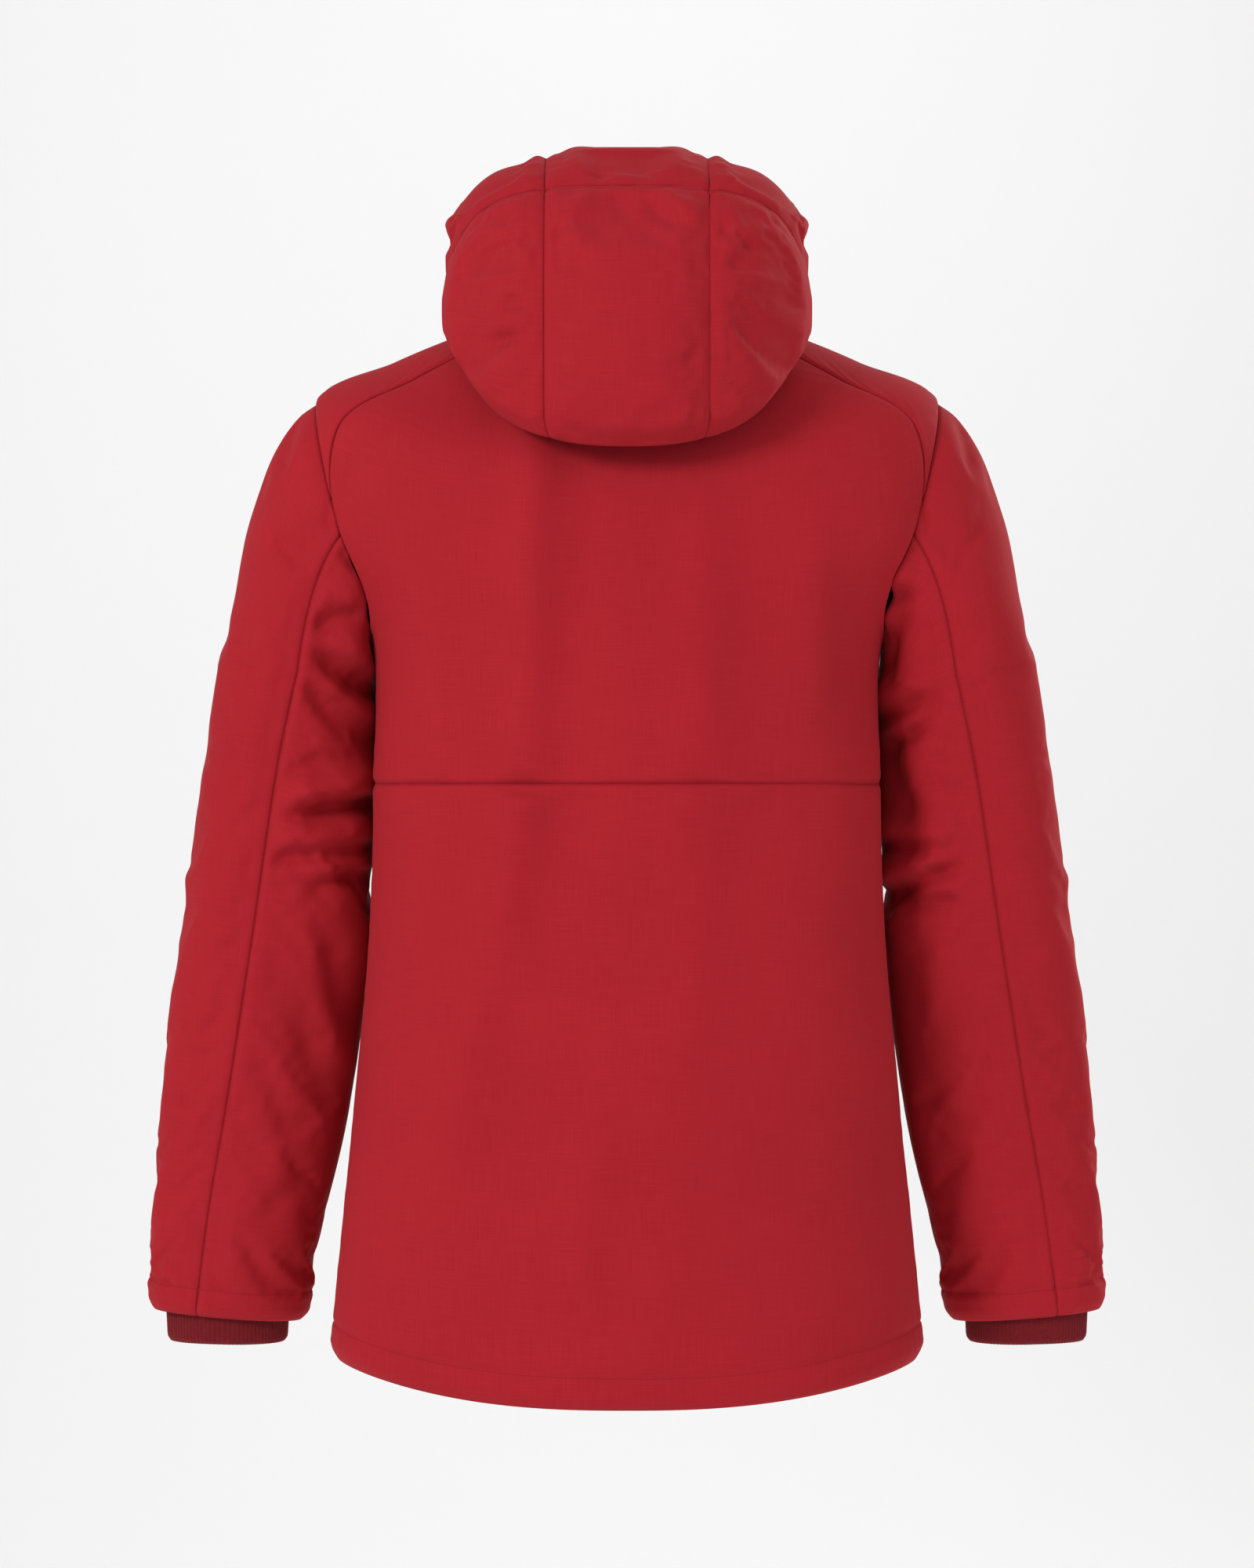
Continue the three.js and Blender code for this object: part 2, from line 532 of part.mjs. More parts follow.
const UNDERSIDE = { halfAngle: 72, shrink: 0.955, footLift: 7, footBack: 3, bulge: { y: 3, z: 7 } };
function undersideSurface(s, t) {
  const lean = mix(-UNDERSIDE.halfAngle, UNDERSIDE.halfAngle, s);
  const edge = hoodPoint(lean, HOOD_END - 0.3).sub(new THREE.Vector3(0, HOOD_POLE.y, HOOD_POLE.z));
  edge.multiplyScalar(UNDERSIDE.shrink).add(new THREE.Vector3(0, HOOD_POLE.y, HOOD_POLE.z));
  const foot = bodyPoint(90 - lean * 0.95, NECK - 0.1);
  foot.z += UNDERSIDE.footLift;
  foot.y += UNDERSIDE.footBack;
  const p = new THREE.Vector3().lerpVectors(edge, foot, t);
  const bulge = 4 * t * (1 - t);
  p.z += UNDERSIDE.bulge.z * bulge;
  p.y += UNDERSIDE.bulge.y * bulge;
  return p;
}
add('hood_underside', shellGeometry(undersideSurface, 12, 3), hoodCloth);

// ---- zips ------------------------------------------------------------------

const wasm = await Module();
wasm.setup();

function toSolid(geometry) {
  const bare = geometry.clone();
  bare.deleteAttribute('normal');
  bare.deleteAttribute('uv');
  const merged = mergeVertices(bare);
  return new wasm.Manifold(new wasm.Mesh({
    numProp: 3,
    vertProperties: new Float32Array(merged.attributes.position.array),
    triVerts: new Uint32Array(merged.index.array),
  }));
}
function join(...geometries) {
  const mesh = geometries.map(toSolid).reduce((a, b) => a.add(b)).getMesh();
  const geometry = new THREE.BufferGeometry();
  geometry.setAttribute('position', new THREE.Float32BufferAttribute(mesh.vertProperties, 3));
  geometry.setIndex([...mesh.triVerts]);
  geometry.computeVertexNormals();
  return geometry;
}
function box(x0, x1, y0, y1, z0, z1) {
  return new THREE.BoxGeometry(x1 - x0, y1 - y0, z1 - z0)
    .translate((x0 + x1) / 2, (y0 + y1) / 2, (z0 + z1) / 2);
}
// A bar of one section, its points in x and y, from z0 up to z1.
function bar(section, z0, z1) {
  const shape = new THREE.Shape(section.map(([x, y]) => new THREE.Vector2(x, y)));
  return new THREE.ExtrudeGeometry(shape, { depth: z1 - z0, bevelEnabled: false }).translate(0, 0, z0);
}

// Every zip is built in its own frame: z up the zip, y into the garment, x across.
const PULL_THICKNESS = 1.6;
const BAIL_HALF_WIDTH = 0.9;
const BAIL_HALF_LENGTH = 3.4;
const BAIL_WALL = 1.1;
const PULL_CLEARANCE = 0.6;          // under and over the pull's bar inside the bail
const SLOT_HALF_WIDTH = 1.5;
const SLOT_LENGTH = 7;

// The loop on a slider whose front face is at y = face. The pull's bar lies inside it.
function bail(face) {
  const foot = face + 0.5;
  const roof = face - 2 * PULL_CLEARANCE - PULL_THICKNESS;
  const [w, l] = [BAIL_HALF_WIDTH, BAIL_HALF_LENGTH];
  return [
    box(-w, w, roof - BAIL_WALL, roof, -l, l),
    box(-w, w, roof - 0.5, foot, -l, -l + BAIL_WALL),
    box(-w, w, roof - 0.5, foot, l - BAIL_WALL, l),
  ];
}
const pullPivotY = (face) => face - PULL_CLEARANCE - PULL_THICKNESS / 2;

// A flat pull that hangs from the bar at its top, whose middle is the group's origin.
function pullGeometry(halfWidth, length) {
  const top = PULL_THICKNESS / 2;
  const outline = new THREE.Shape();
  outline.moveTo(-halfWidth, top);
  outline.lineTo(-halfWidth, halfWidth - length);
  outline.absarc(0, halfWidth - length, halfWidth, Math.PI, 2 * Math.PI, false);
  outline.lineTo(halfWidth, top);
  const slot = new THREE.Path();
  slot.moveTo(-SLOT_HALF_WIDTH, -top);
  slot.lineTo(SLOT_HALF_WIDTH, -top);
  slot.lineTo(SLOT_HALF_WIDTH, -top - SLOT_LENGTH);
  slot.lineTo(-SLOT_HALF_WIDTH, -top - SLOT_LENGTH);
  outline.holes.push(slot);
  const flat = new THREE.ExtrudeGeometry(outline, { depth: PULL_THICKNESS, bevelEnabled: false, curveSegments: 5 });
  return flat.translate(0, 0, -PULL_THICKNESS / 2).rotateX(Math.PI / 2);
}

function addPull(zip, name, face, z, halfWidth, length, material) {
  const pull = add(name, pullGeometry(halfWidth, length), material, zip);
  pull.position.set(0, pullPivotY(face), z);
}

// ---- main zip: two toothed tapes, a slider that straddles the teeth, a pull ----

const mainZip = new THREE.Group();
mainZip.position.set(0, frontY(ZIP_TOP_Z), ZIP_TOP_Z);
mainZip.rotation.x = -Math.atan(ZIP_SLOPE);
jacket.add(mainZip);

const ZIP_LENGTH = (ZIP_TOP_Z - ZIP_BOTTOM_Z) * Math.hypot(1, ZIP_SLOPE);
const TEETH = { near: 0.8, far: 3.2, front: 0.2, back: 3 };
const TAPE = { far: 10, front: 2.2, back: 3 };
const SLIDER = { halfWidth: 5.2, halfLength: 7, plate: 1.5, web: 0.4, clearance: 0.6 };
const SLIDER_REST = -9;              // slider's middle below the zip's top end

for (const side of SIDES) {
  const sign = side === 'left' ? 1 : -1;
  const section = [
    [TEETH.near, TEETH.front], [TEETH.far, TEETH.front], [TEETH.far, TAPE.front], [TAPE.far, TAPE.front],
    [TAPE.far, TAPE.back], [TEETH.far, TAPE.back], [TEETH.far, TEETH.back], [TEETH.near, TEETH.back],
  ].map(([x, y]) => [sign * x, y]);
  add(`main_zip_tape_${side}`, bar(section, -ZIP_LENGTH, 0), teethPlastic, mainZip);
}
const mainFace = TEETH.front - SLIDER.clearance - SLIDER.plate;
const mainBack = TEETH.back + SLIDER.clearance + SLIDER.plate;
const { halfWidth: sliderX, halfLength: sliderZ, plate, web } = SLIDER;
const mainSlider = add('main_zip_slider', join(
  box(-sliderX, sliderX, mainFace, mainFace + plate, -sliderZ, sliderZ),
  box(-web, web, mainFace + plate / 2, mainBack - plate / 2, -sliderZ + 2, sliderZ),
  box(-sliderX, sliderX, mainBack - plate, mainBack, -sliderZ, sliderZ),
  ...bail(mainFace),
), zipMetal, mainZip);
mainSlider.position.z = SLIDER_REST;
addPull(mainZip, 'main_zip_pull', mainFace, SLIDER_REST, 4, 36, pullRubber);

const FLAP_DEPTH = 7;                // storm flap behind the zip line
const FLAP_WALL = 1.4;
add('storm_flap',
  box(-FLAP_HALF_WIDTH, FLAP_HALF_WIDTH, FLAP_DEPTH, FLAP_DEPTH + FLAP_WALL, 16 - ZIP_LENGTH, -4),
  sideCloth, mainZip);

// ---- pocket zips: a base with two welts and a row of teeth, a slider, a pull ----

const POCKET_BASE = 0.8;
const WELT = { near: 4.4, far: 10, height: 2.6 };
const POCKET_TEETH = { half: 1.8, height: 2 };
const POCKET_HALF_WIDTH = 11;
const POCKET_SLIDER = { halfWidth: 3.6, halfLength: 5, plate: 1.4, clearance: 0.5, end: 8 };

function pocketZip(name, length, side, turn, u, slant) {
  const sign = side === 'left' ? 1 : -1;
  const at = (a, b) => {
    const p = bodyPoint(a, b);
    p.x *= sign;
    return p;
  };
  const origin = at(turn, u);
  const halfTurn = POCKET_HALF_WIDTH / BODY_TURN_WIDTH;
  const halfU = length / 2 / BODY_RING_SPACING;
  const round = at(turn + halfTurn, u).sub(at(turn - halfTurn, u));
  const up = at(turn, u + halfU).sub(at(turn, u - halfU)).normalize();
  const outward = round.cross(up).normalize().multiplyScalar(sign);
  // the straight base clears the highest place of the cloth under it
  const heights = [-1, 0, 1].flatMap((a) => [-1, -0.5, 0, 0.5, 1].map((b) =>
    at(turn + a * halfTurn, u + b * halfU).sub(origin).dot(outward)));
  const standoff = POCKET_STANDOFF + Math.max(...heights);
  up.applyAxisAngle(outward, sign * slant * RAD);
  const inward = outward.clone().negate();
  const frame = new THREE.Matrix4().makeBasis(new THREE.Vector3().crossVectors(inward, up), inward, up);
  const zip = new THREE.Group();
  zip.quaternion.setFromRotationMatrix(frame);
  zip.position.copy(origin).addScaledVector(outward, standoff);
  jacket.add(zip);

  const half = [
    [POCKET_TEETH.half, -POCKET_TEETH.height], [POCKET_TEETH.half, -POCKET_BASE], [WELT.near, -POCKET_BASE],
    [WELT.near, -WELT.height], [WELT.far, -WELT.height], [WELT.far, -POCKET_BASE],
    [POCKET_HALF_WIDTH, -POCKET_BASE], [POCKET_HALF_WIDTH, 0],
  ];
  const section = [...half, ...half.map(([x, y]) => [-x, y]).reverse()];
  add(`${name}_zip`, bar(section, -length / 2, length / 2), tapeCloth, zip);
  const { halfWidth: x, halfLength: z, plate: thick, clearance, end } = POCKET_SLIDER;
  const face = -POCKET_TEETH.height - clearance - thick;
  const slider = add(`${name}_slider`, join(box(-x, x, face, face + thick, -z, z), ...bail(face)), zipMetal, zip);
  slider.position.z = length / 2 - end;
  addPull(zip, `${name}_pull`, face, length / 2 - end, 3, 26, pullRubber);
}
for (const side of SIDES) pocketZip(`hand_pocket_${side}`, HAND_POCKET_ZIP, side, -58, 2.75, 10);
pocketZip('chest_pocket', CHEST_POCKET_ZIP, 'left', -66, 4.5, 0);

// ---- powder skirt, hang loop, label patch, hood eyelets ----------------------

const SKIRT = { low: 0.9, high: 1.95, topInset: 17, hemInset: 27, wall: 1, middleY: 20, halfWidth: 200, halfDepth: 140 };
function skirtSurface(s, t) {
  const half = 90 + frontEdge(SKIRT.low, INNER_ZIP_EDGE + 10);
  const turn = mix(-90 + half, 270 - half, s);
  const p = bodyPoint(turn, mix(SKIRT.low, SKIRT.high, t));
  const inset = mix(SKIRT.hemInset, SKIRT.topInset, t);
  p.x *= 1 - inset / SKIRT.halfWidth;
  p.y = SKIRT.middleY + (p.y - SKIRT.middleY) * (1 - inset / SKIRT.halfDepth);
  return p;
}
add('powder_skirt', shellGeometry(skirtSurface, 28, 2, { wall: SKIRT.wall }), skirtCloth);

const NECK_BACK = { y: BODY[NECK].backY, z: BODY[NECK].backZ };
const LOOP = { radius: 28, width: 7, thickness: 1.2, depth: 15.6, drop: 30 };
const strap = new THREE.Shape();
strap.absarc(0, 0, LOOP.radius, Math.PI, 2 * Math.PI, false);
strap.absarc(0, 0, LOOP.radius - LOOP.width, 2 * Math.PI, Math.PI, true);
const hangLoop = add('hang_loop',
  new THREE.ExtrudeGeometry(strap, { depth: LOOP.thickness, bevelEnabled: false, curveSegments: 10 }),
  tapeCloth);
hangLoop.rotation.x = Math.PI / 2;
hangLoop.position.set(0, NECK_BACK.y - LOOP.depth, NECK_BACK.z + LOOP.drop);

const LABEL = { halfWidth: 22, height: 20, thickness: 1, depth: 16.4, lift: 34 };
add('label_patch', box(
  -LABEL.halfWidth, LABEL.halfWidth,
  NECK_BACK.y - LABEL.depth - LABEL.thickness, NECK_BACK.y - LABEL.depth,
  NECK_BACK.z + LABEL.lift, NECK_BACK.z + LABEL.lift + LABEL.height,
), liningCloth);

const EYELET = { radius: 5, hole: 2.2, height: 1.2, standoff: 1.4, lean: 66, rib: 0.75 };
const eyeletRing = new THREE.LatheGeometry([
  [EYELET.hole, 0], [EYELET.radius, 0], [EYELET.radius - 1, EYELET.height], [EYELET.hole, EYELET.height],
  [EYELET.hole, 0],
].map(([x, y]) => new THREE.Vector2(x, y)), 12);
for (const side of SIDES) {
  const sign = side === 'left' ? 1 : -1;
  const at = (lean, v) => hoodPoint(sign * lean, v);
  const { lean, rib } = EYELET;
  const across = at(lean + 1, rib).sub(at(lean - 1, rib)).multiplyScalar(sign);
  const outward = across.cross(at(lean, rib + 0.05).sub(at(lean, rib - 0.05))).normalize();
  const eyelet = add(`hood_eyelet_${side}`, eyeletRing, eyeletMetal);
  eyelet.quaternion.setFromUnitVectors(new THREE.Vector3(0, 1, 0), outward);
  eyelet.position.copy(at(lean, rib)).addScaledVector(outward, EYELET.standoff);
}

export default jacket;
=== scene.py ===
import json
import math

import bpy
import numpy as np
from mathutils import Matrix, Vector


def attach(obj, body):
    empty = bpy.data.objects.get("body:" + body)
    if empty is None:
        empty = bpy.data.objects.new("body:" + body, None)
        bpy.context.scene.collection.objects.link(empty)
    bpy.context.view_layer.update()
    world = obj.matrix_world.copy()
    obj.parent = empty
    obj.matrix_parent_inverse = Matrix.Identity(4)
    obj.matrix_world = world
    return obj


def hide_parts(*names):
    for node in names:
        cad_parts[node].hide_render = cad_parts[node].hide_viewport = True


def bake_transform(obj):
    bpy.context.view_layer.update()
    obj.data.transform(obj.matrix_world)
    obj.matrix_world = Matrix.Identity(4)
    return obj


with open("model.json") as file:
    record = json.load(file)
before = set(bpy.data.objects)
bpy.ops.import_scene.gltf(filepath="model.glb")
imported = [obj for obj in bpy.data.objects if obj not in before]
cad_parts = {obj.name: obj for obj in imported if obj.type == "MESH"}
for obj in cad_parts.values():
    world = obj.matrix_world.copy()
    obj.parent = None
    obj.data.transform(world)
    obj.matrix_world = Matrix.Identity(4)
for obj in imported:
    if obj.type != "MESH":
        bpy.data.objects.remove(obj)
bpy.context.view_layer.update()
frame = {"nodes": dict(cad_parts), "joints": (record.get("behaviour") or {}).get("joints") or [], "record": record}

mm = 0.001
sides = {"left": 1, "right": -1}


# ---- small maths

def mixed(a, b, t):
    return a + (b - a) * t


def smooth(low, high, x):
    t = np.clip((x - low) / (high - low), 0, 1)
    return t * t * (3 - 2 * t)


def signedPower(x, p):
    return np.sign(x) * np.abs(x) ** p


def sinDeg(a):
    return np.sin(np.radians(a))


def cosDeg(a):
    return np.cos(np.radians(a))


def along(values, u):
    # a smooth curve through one value of each ring, u counted in rings
    v = np.asarray(values, float)
    v = np.concatenate([[2 * v[0] - v[1]], v, [2 * v[-1] - v[-2]]])
    u = np.asarray(u, float)
    i = np.clip(np.floor(u).astype(int), 0, len(values) - 2)
    t = u - i
    before, a, b, after = v[i], v[i + 1], v[i + 2], v[i + 3]
    m0, m1 = (b - before) / 2, (after - a) / 2
    return (a * (2 * t**3 - 3 * t**2 + 1) + m0 * (t**3 - 2 * t**2 + t)
            + b * (3 * t**2 - 2 * t**3) + m1 * (t**3 - t**2))


def stacked(x, y, z):
    return np.stack(np.broadcast_arrays(x, y, z), -1)


def softNoise(x, y, cell, seed):
    # smooth random hills, from -1 to 1, one hill to a cell
    random = np.random.default_rng(seed)
    lattice = random.uniform(-1, 1, (64, 64))
    x, y = x / cell, y / cell
    i, j = np.floor(x).astype(int), np.floor(y).astype(int)
    fx, fy = x - i, y - j
    fx, fy = fx * fx * (3 - 2 * fx), fy * fy * (3 - 2 * fy)
    at = lambda a, b: lattice[a % 64, b % 64]
    low = mixed(at(i, j), at(i + 1, j), fx)
    high = mixed(at(i, j + 1), at(i + 1, j + 1), fx)
    return mixed(low, high, fy)


# ---- the jacket's surfaces, in millimetres

seams = {  # turns in degrees, zipEdge in millimetres, the rest counted in body rings
    "raglanTurn": 27.5, "armholeTurn": 28, "zipEdge": 7, "backSeam": 4, "underarm": 5, "neck": 10,
}
hemCurve = {"low": 2.4, "shoulder": 1.5}
frontTilt = {"y": -94, "z": 50, "slope": 0.07}

bodyRings = {  # hem to neck
    "x": [222, 211.5, 201.5, 192, 189, 191.5, 236, 234, 174, 124, 86],
    "sideY": [22, 23, 24, 25, 25, 20, 12, 5, 2, 0, -3],
    "sideZ": [-756, -654.2, -552.4, -442.2, -331.9, -222, -130, -46, -15, 6, 20],
    "backY": [150, 148, 145, 143, 142, 140, 136, 128, 113, 96, 78],
    "backZ": [-781, -662.7, -556.7, -442.2, -331.9, -222, -165, -112, -70, -36, -6],
    "frontZ": [-760, -654.2, -552.4, -442.2, -331.9, -232, -178, -132, -92, -58, -28],
    "square": [2.5, 2.5, 2.5, 2.5, 2.5, 2.5, 2.5, 2.4, 2.3, 2.2, 2.1],
}


def frontY(z):
    # the front is a plane that leans forwards towards the hem
    return frontTilt["y"] - (frontTilt["z"] - z) * frontTilt["slope"]


def bodyPoint(turn, u):
    # turn is 0 at the wearer's left side, 90 at the back, -90 at the front
    turn, u = np.broadcast_arrays(np.asarray(turn, float), np.asarray(u, float))
    ring = {key: along(bodyRings[key], u) for key in bodyRings}
    power = 2 / ring["square"]
    c, s = cosDeg(turn), sinDeg(turn)
    curve = np.where(u < seams["backSeam"], hemCurve["low"], hemCurve["shoulder"])
    z = mixed(ring["sideZ"], np.where(s > 0, ring["backZ"], ring["frontZ"]), np.abs(s) ** curve)
    farY = np.where(s > 0, ring["backY"], frontY(ring["frontZ"]))
    y = ring["sideY"] + (farY - ring["sideY"]) * np.abs(s) ** power
    return stacked(ring["x"] * signedPower(c, power), y, z)


def armholeTurn(u):
    return seams["armholeTurn"] * np.sqrt(np.clip(1 - (u - seams["underarm"] - 1) ** 2, 0, 1))


raglanStart = seams["underarm"] + 1 + math.sqrt(1 - (seams["raglanTurn"] / seams["armholeTurn"]) ** 2)


def sideEdge(u):
    # where a body panel ends: side seam, then armhole, then raglan seam
    above = np.where(u <= raglanStart, armholeTurn(u), seams["raglanTurn"])
    return np.where(u <= seams["underarm"], 0.0, above)


def frontEdge(u, x):
    share = np.clip(x / along(bodyRings["x"], u), 0, 1) ** (along(bodyRings["square"], u) / 2)
    return -np.degrees(np.arccos(share))


def backSurface(rows):
    def place(s, t):
        u = np.interp(t, np.linspace(0, 1, len(rows)), rows)
        edge = sideEdge(u)
        return mixed(edge, 180 - edge, s), u
    return place


def frontSurface(rows, zipEdge=seams["zipEdge"]):
    def place(s, t):
        u = np.interp(t, np.linspace(0, 1, len(rows)), rows)
        return mixed(frontEdge(u, zipEdge), -sideEdge(u), s), u
    return place


def yokeSurface(s, t):
    turn = mixed(-seams["raglanTurn"], seams["raglanTurn"], s)
    low = seams["underarm"] + 1 + np.sqrt(1 - (turn / seams["armholeTurn"]) ** 2)
    return turn, mixed(low, seams["neck"], t)


sleeveRings = {  # shoulder to cuff
    "outer": [305, 322, 339, 352.5, 359.5, 364.5],
    "inner": [190, 190, 197, 212.5, 229, 242.5],
    "y": [0, -9, -18, -24, -28, -31],
    "halfDepth": [68, 66, 61, 55, 49, 43],
    "z": [-250, -332.28, -450.86, -569.44, -651.72, -734],
    "tilt": [16, 11, 9, 7, 6, 5],
}
sleeveSquare = 2.2
cuffRow = 5
backSeamTurns = {"head": 97, "top": 94, "cuff": 72, "ease": 0.75}
frontSeamTurns = {"head": -75, "top": -86, "cuff": -80}


def tubePoint(turn, w):
    ring = {key: along(sleeveRings[key], w) for key in sleeveRings}
    power = 2 / sleeveSquare
    c = signedPower(cosDeg(turn), power)
    return stacked((ring["outer"] + ring["inner"]) / 2 + (ring["outer"] - ring["inner"]) / 2 * c,
                   ring["y"] + ring["halfDepth"] * signedPower(sinDeg(turn), power),
                   ring["z"] + ring["tilt"] * c)


def unit(v):
    return v / np.maximum(np.linalg.norm(v, axis=-1, keepdims=True), 1e-9)


def armholePoint(turn, lift):
    a, u = seams["armholeTurn"] * sinDeg(turn), seams["underarm"] + 1 + cosDeg(turn)
    across = bodyPoint(a + 1, u) - bodyPoint(a - 1, u)
    up = bodyPoint(a, u + 0.01) - bodyPoint(a, u - 0.01)
    return bodyPoint(a, u) + unit(np.cross(across, up)) * lift


def headPoint(turn, w, lift=-1.2):
    # the sleeve head leaves the armhole outwards and joins the tube
    t = (w + 1)[..., None]
    top = ((1 + cosDeg(turn)) / 2)[..., None]
    start, end = armholePoint(turn, lift), tubePoint(turn, 0 * turn)
    reach = np.linalg.norm(end - start, axis=-1, keepdims=True)
    leave = mixed(np.array([0.45, 0, -0.9]), np.array([0.8, 0, -0.6]), top) * reach * mixed(0.8, 0.95, top)
    arrive = unit(tubePoint(turn, 0 * turn + 0.05) - end) * reach
    return (start * (2 * t**3 - 3 * t**2 + 1) + leave * (t**3 - 2 * t**2 + t)
            + end * (3 * t**2 - 2 * t**3) + arrive * (t**3 - t**2))


def sleevePoint(turn, w):
    turn, w = np.broadcast_arrays(np.asarray(turn, float), np.asarray(w, float))
    head = headPoint(turn, np.clip(w, -1, 0))
    tube = tubePoint(turn, np.clip(w, 0, cuffRow))
    return np.where((w < 0)[..., None], head, tube)


def seamTurn(w, turns, down):
    # how far round a sleeve's seam is: across the head, then down the tube
    across = mixed(turns["head"], turns["top"], w + 1)
    return np.where(w < 0, across, mixed(turns["top"], turns["cuff"], down))


def backSeamTurn(w):
    down = (np.clip(w, 0, cuffRow) / cuffRow) ** backSeamTurns["ease"]
    return seamTurn(w, backSeamTurns, down)


def frontSeamTurn(w):
    return seamTurn(w, frontSeamTurns, w / cuffRow)


def sleeveSurface(panel):
    def place(s, t):
        w = mixed(cuffRow, -1, t)
        back, front = backSeamTurn(w), frontSeamTurn(w)
        turn = mixed(front, back, s) if panel == "outer" else mixed(back, front + 360, s)
        return turn, w
    return place


hoodPole = {"y": 10, "z": 16}
hoodRibs = {  # face edge, over the head, to behind the neck
    "turn": [43, 66, 90, 115, 140, 168, 194, 216],
    "reach": [153, 131, 123, 127, 136, 149, 166, 187],
    "width": [120, 128, 133, 134, 133, 133, 136, 137],
    "square": [3, 3.5, 3.7, 3.6, 3.3, 2.8, 2.5, 2.4],
}
hoodRows = {"brim": 7 / 23, "crown": 4, "end": 7}
hoodSideLift = 13
hoodSeamX = 60
hoodSideAngle = 86


def hoodPoint(lean, v):
    lean, v = np.broadcast_arrays(np.asarray(lean, float), np.asarray(v, float))
    rib = {key: along(hoodRibs[key], v) for key in hoodRibs}
    power = 2 / rib["square"]
    behind = np.clip((v - hoodRows["crown"]) / (hoodRows["end"] - hoodRows["crown"]), 0, 1)
    sideLift = hoodSideLift * np.abs(sinDeg(lean)) ** 8 * behind
    turn = rib["turn"] - sideLift
    reach = rib["reach"] * np.clip(cosDeg(lean), 0, 1) ** power
    return stacked(rib["width"] * signedPower(sinDeg(lean), power),
                   hoodPole["y"] - cosDeg(turn) * reach,
                   hoodPole["z"] + sinDeg(turn) * reach)


def hoodLean(v, x):
    share = np.clip(x / along(hoodRibs["width"], v), 0, 1) ** (along(hoodRibs["square"], v) / 2)
    return np.degrees(np.arcsin(share))


def hoodSurface(panel, low, high):
    def place(s, t):
        v = mixed(low, high, t)
        edge = hoodLean(v, hoodSeamX)
        lean = mixed(-edge, edge, s) if panel == "centre" else mixed(edge, hoodSideAngle, s)
        return lean, v
    return place


collarShape = {"gap": 2, "height": 60, "lean": 6, "frontShare": 0.72, "backShare": -0.6, "zipStart": 0.9}


def collarPoint(turn, t):
    # t runs from the neck seam up; the collar leans inwards, and its front lies in the zip's plane
    foot = bodyPoint(turn, seams["neck"] + 0 * turn)
    share = np.where(foot[..., 1] < 0, collarShape["frontShare"], collarShape["backShare"])
    y = foot[..., 1] + collarShape["lean"] * share * np.abs(sinDeg(turn)) ** 1.2 * t
    z = foot[..., 2] + collarShape["gap"] + collarShape["height"] * t
    ahead = np.clip((-sinDeg(turn) - collarShape["zipStart"]) * 10, 0, 1)
    y = np.where(sinDeg(turn) < -collarShape["zipStart"], np.minimum(y, mixed(y, frontY(z), ahead)), y)
    return stacked(foot[..., 0] * (1 - collarShape["lean"] / bodyRings["x"][-1] * t), y, z)


# ---- grids of points, and meshes from them

def normalsOf(grid, ring=False):
    if ring:
        across = np.gradient(np.concatenate([grid[:, -2:], grid, grid[:, :2]], 1), axis=1)[:, 2:-2]
    else:
        across = np.gradient(grid, axis=1)
    return unit(np.cross(across, np.gradient(grid, axis=0)))


def outwards(surface, a, b):
    # the surface's own outward direction, the same for two panels that meet at a seam
    step = 0.01
    across = surface(a + 30 * step, b) - surface(a - 30 * step, b)
    up = surface(a, b + step) - surface(a, b - step)
    turned = -1 if surface is sleevePoint else 1
    return unit(np.cross(across, up)) * turned


def edgeDistances(grid):
    # how far each point is from the piece's four edges, along the cloth
    across = np.linalg.norm(np.diff(grid, axis=1), axis=-1)
    up = np.linalg.norm(np.diff(grid, axis=0), axis=-1)
    left = np.pad(np.cumsum(across, 1), ((0, 0), (1, 0)))
    low = np.pad(np.cumsum(up, 0), ((1, 0), (0, 0)))
    return {"left": left, "right": left[:, -1:] - left, "low": low, "high": low[-1:] - low}


def layCloth(name, grid, material, thickness=1.2, ring=False):
    # one layer of cloth on a grid of points, with its threads as UVs in metres
    rows, columns = grid.shape[:2]
    index = np.arange(rows * columns).reshape(rows, columns)
    if ring:
        index = np.hstack([index, index[:, :1]])
    quads = np.stack([index[:-1, :-1], index[:-1, 1:], index[1:, 1:], index[1:, :-1]], -1).reshape(-1, 4)
    mesh = bpy.data.meshes.new(name)
    mesh.from_pydata((grid.reshape(-1, 3) * mm).tolist(), [], quads.tolist())
    full = np.concatenate([grid, grid[:, :1]], 1) if ring else grid
    reach = edgeDistances(full)
    middle = full.shape[1] // 2
    u = reach["left"] - reach["left"][:, middle:middle + 1]
    v = np.broadcast_to(reach["low"][:, middle:middle + 1], u.shape)
    uv = np.stack([u, v], -1) * mm
    corners = np.stack([uv[:-1, :-1], uv[:-1, 1:], uv[1:, 1:], uv[1:, :-1]], 2).reshape(-1, 2)
    layer = mesh.uv_layers.new(name="threads")
    layer.data.foreach_set("uv", corners.astype(np.float32).ravel())
    mesh.polygons.foreach_set("use_smooth", np.ones(len(quads), bool))
    mesh.materials.append(material)
    piece = bpy.data.objects.new(name, mesh)
    bpy.context.collection.objects.link(piece)
    if thickness:
        wall = piece.modifiers.new("wall", "SOLIDIFY")
        wall.thickness = thickness * mm
        wall.offset = -1
    return piece


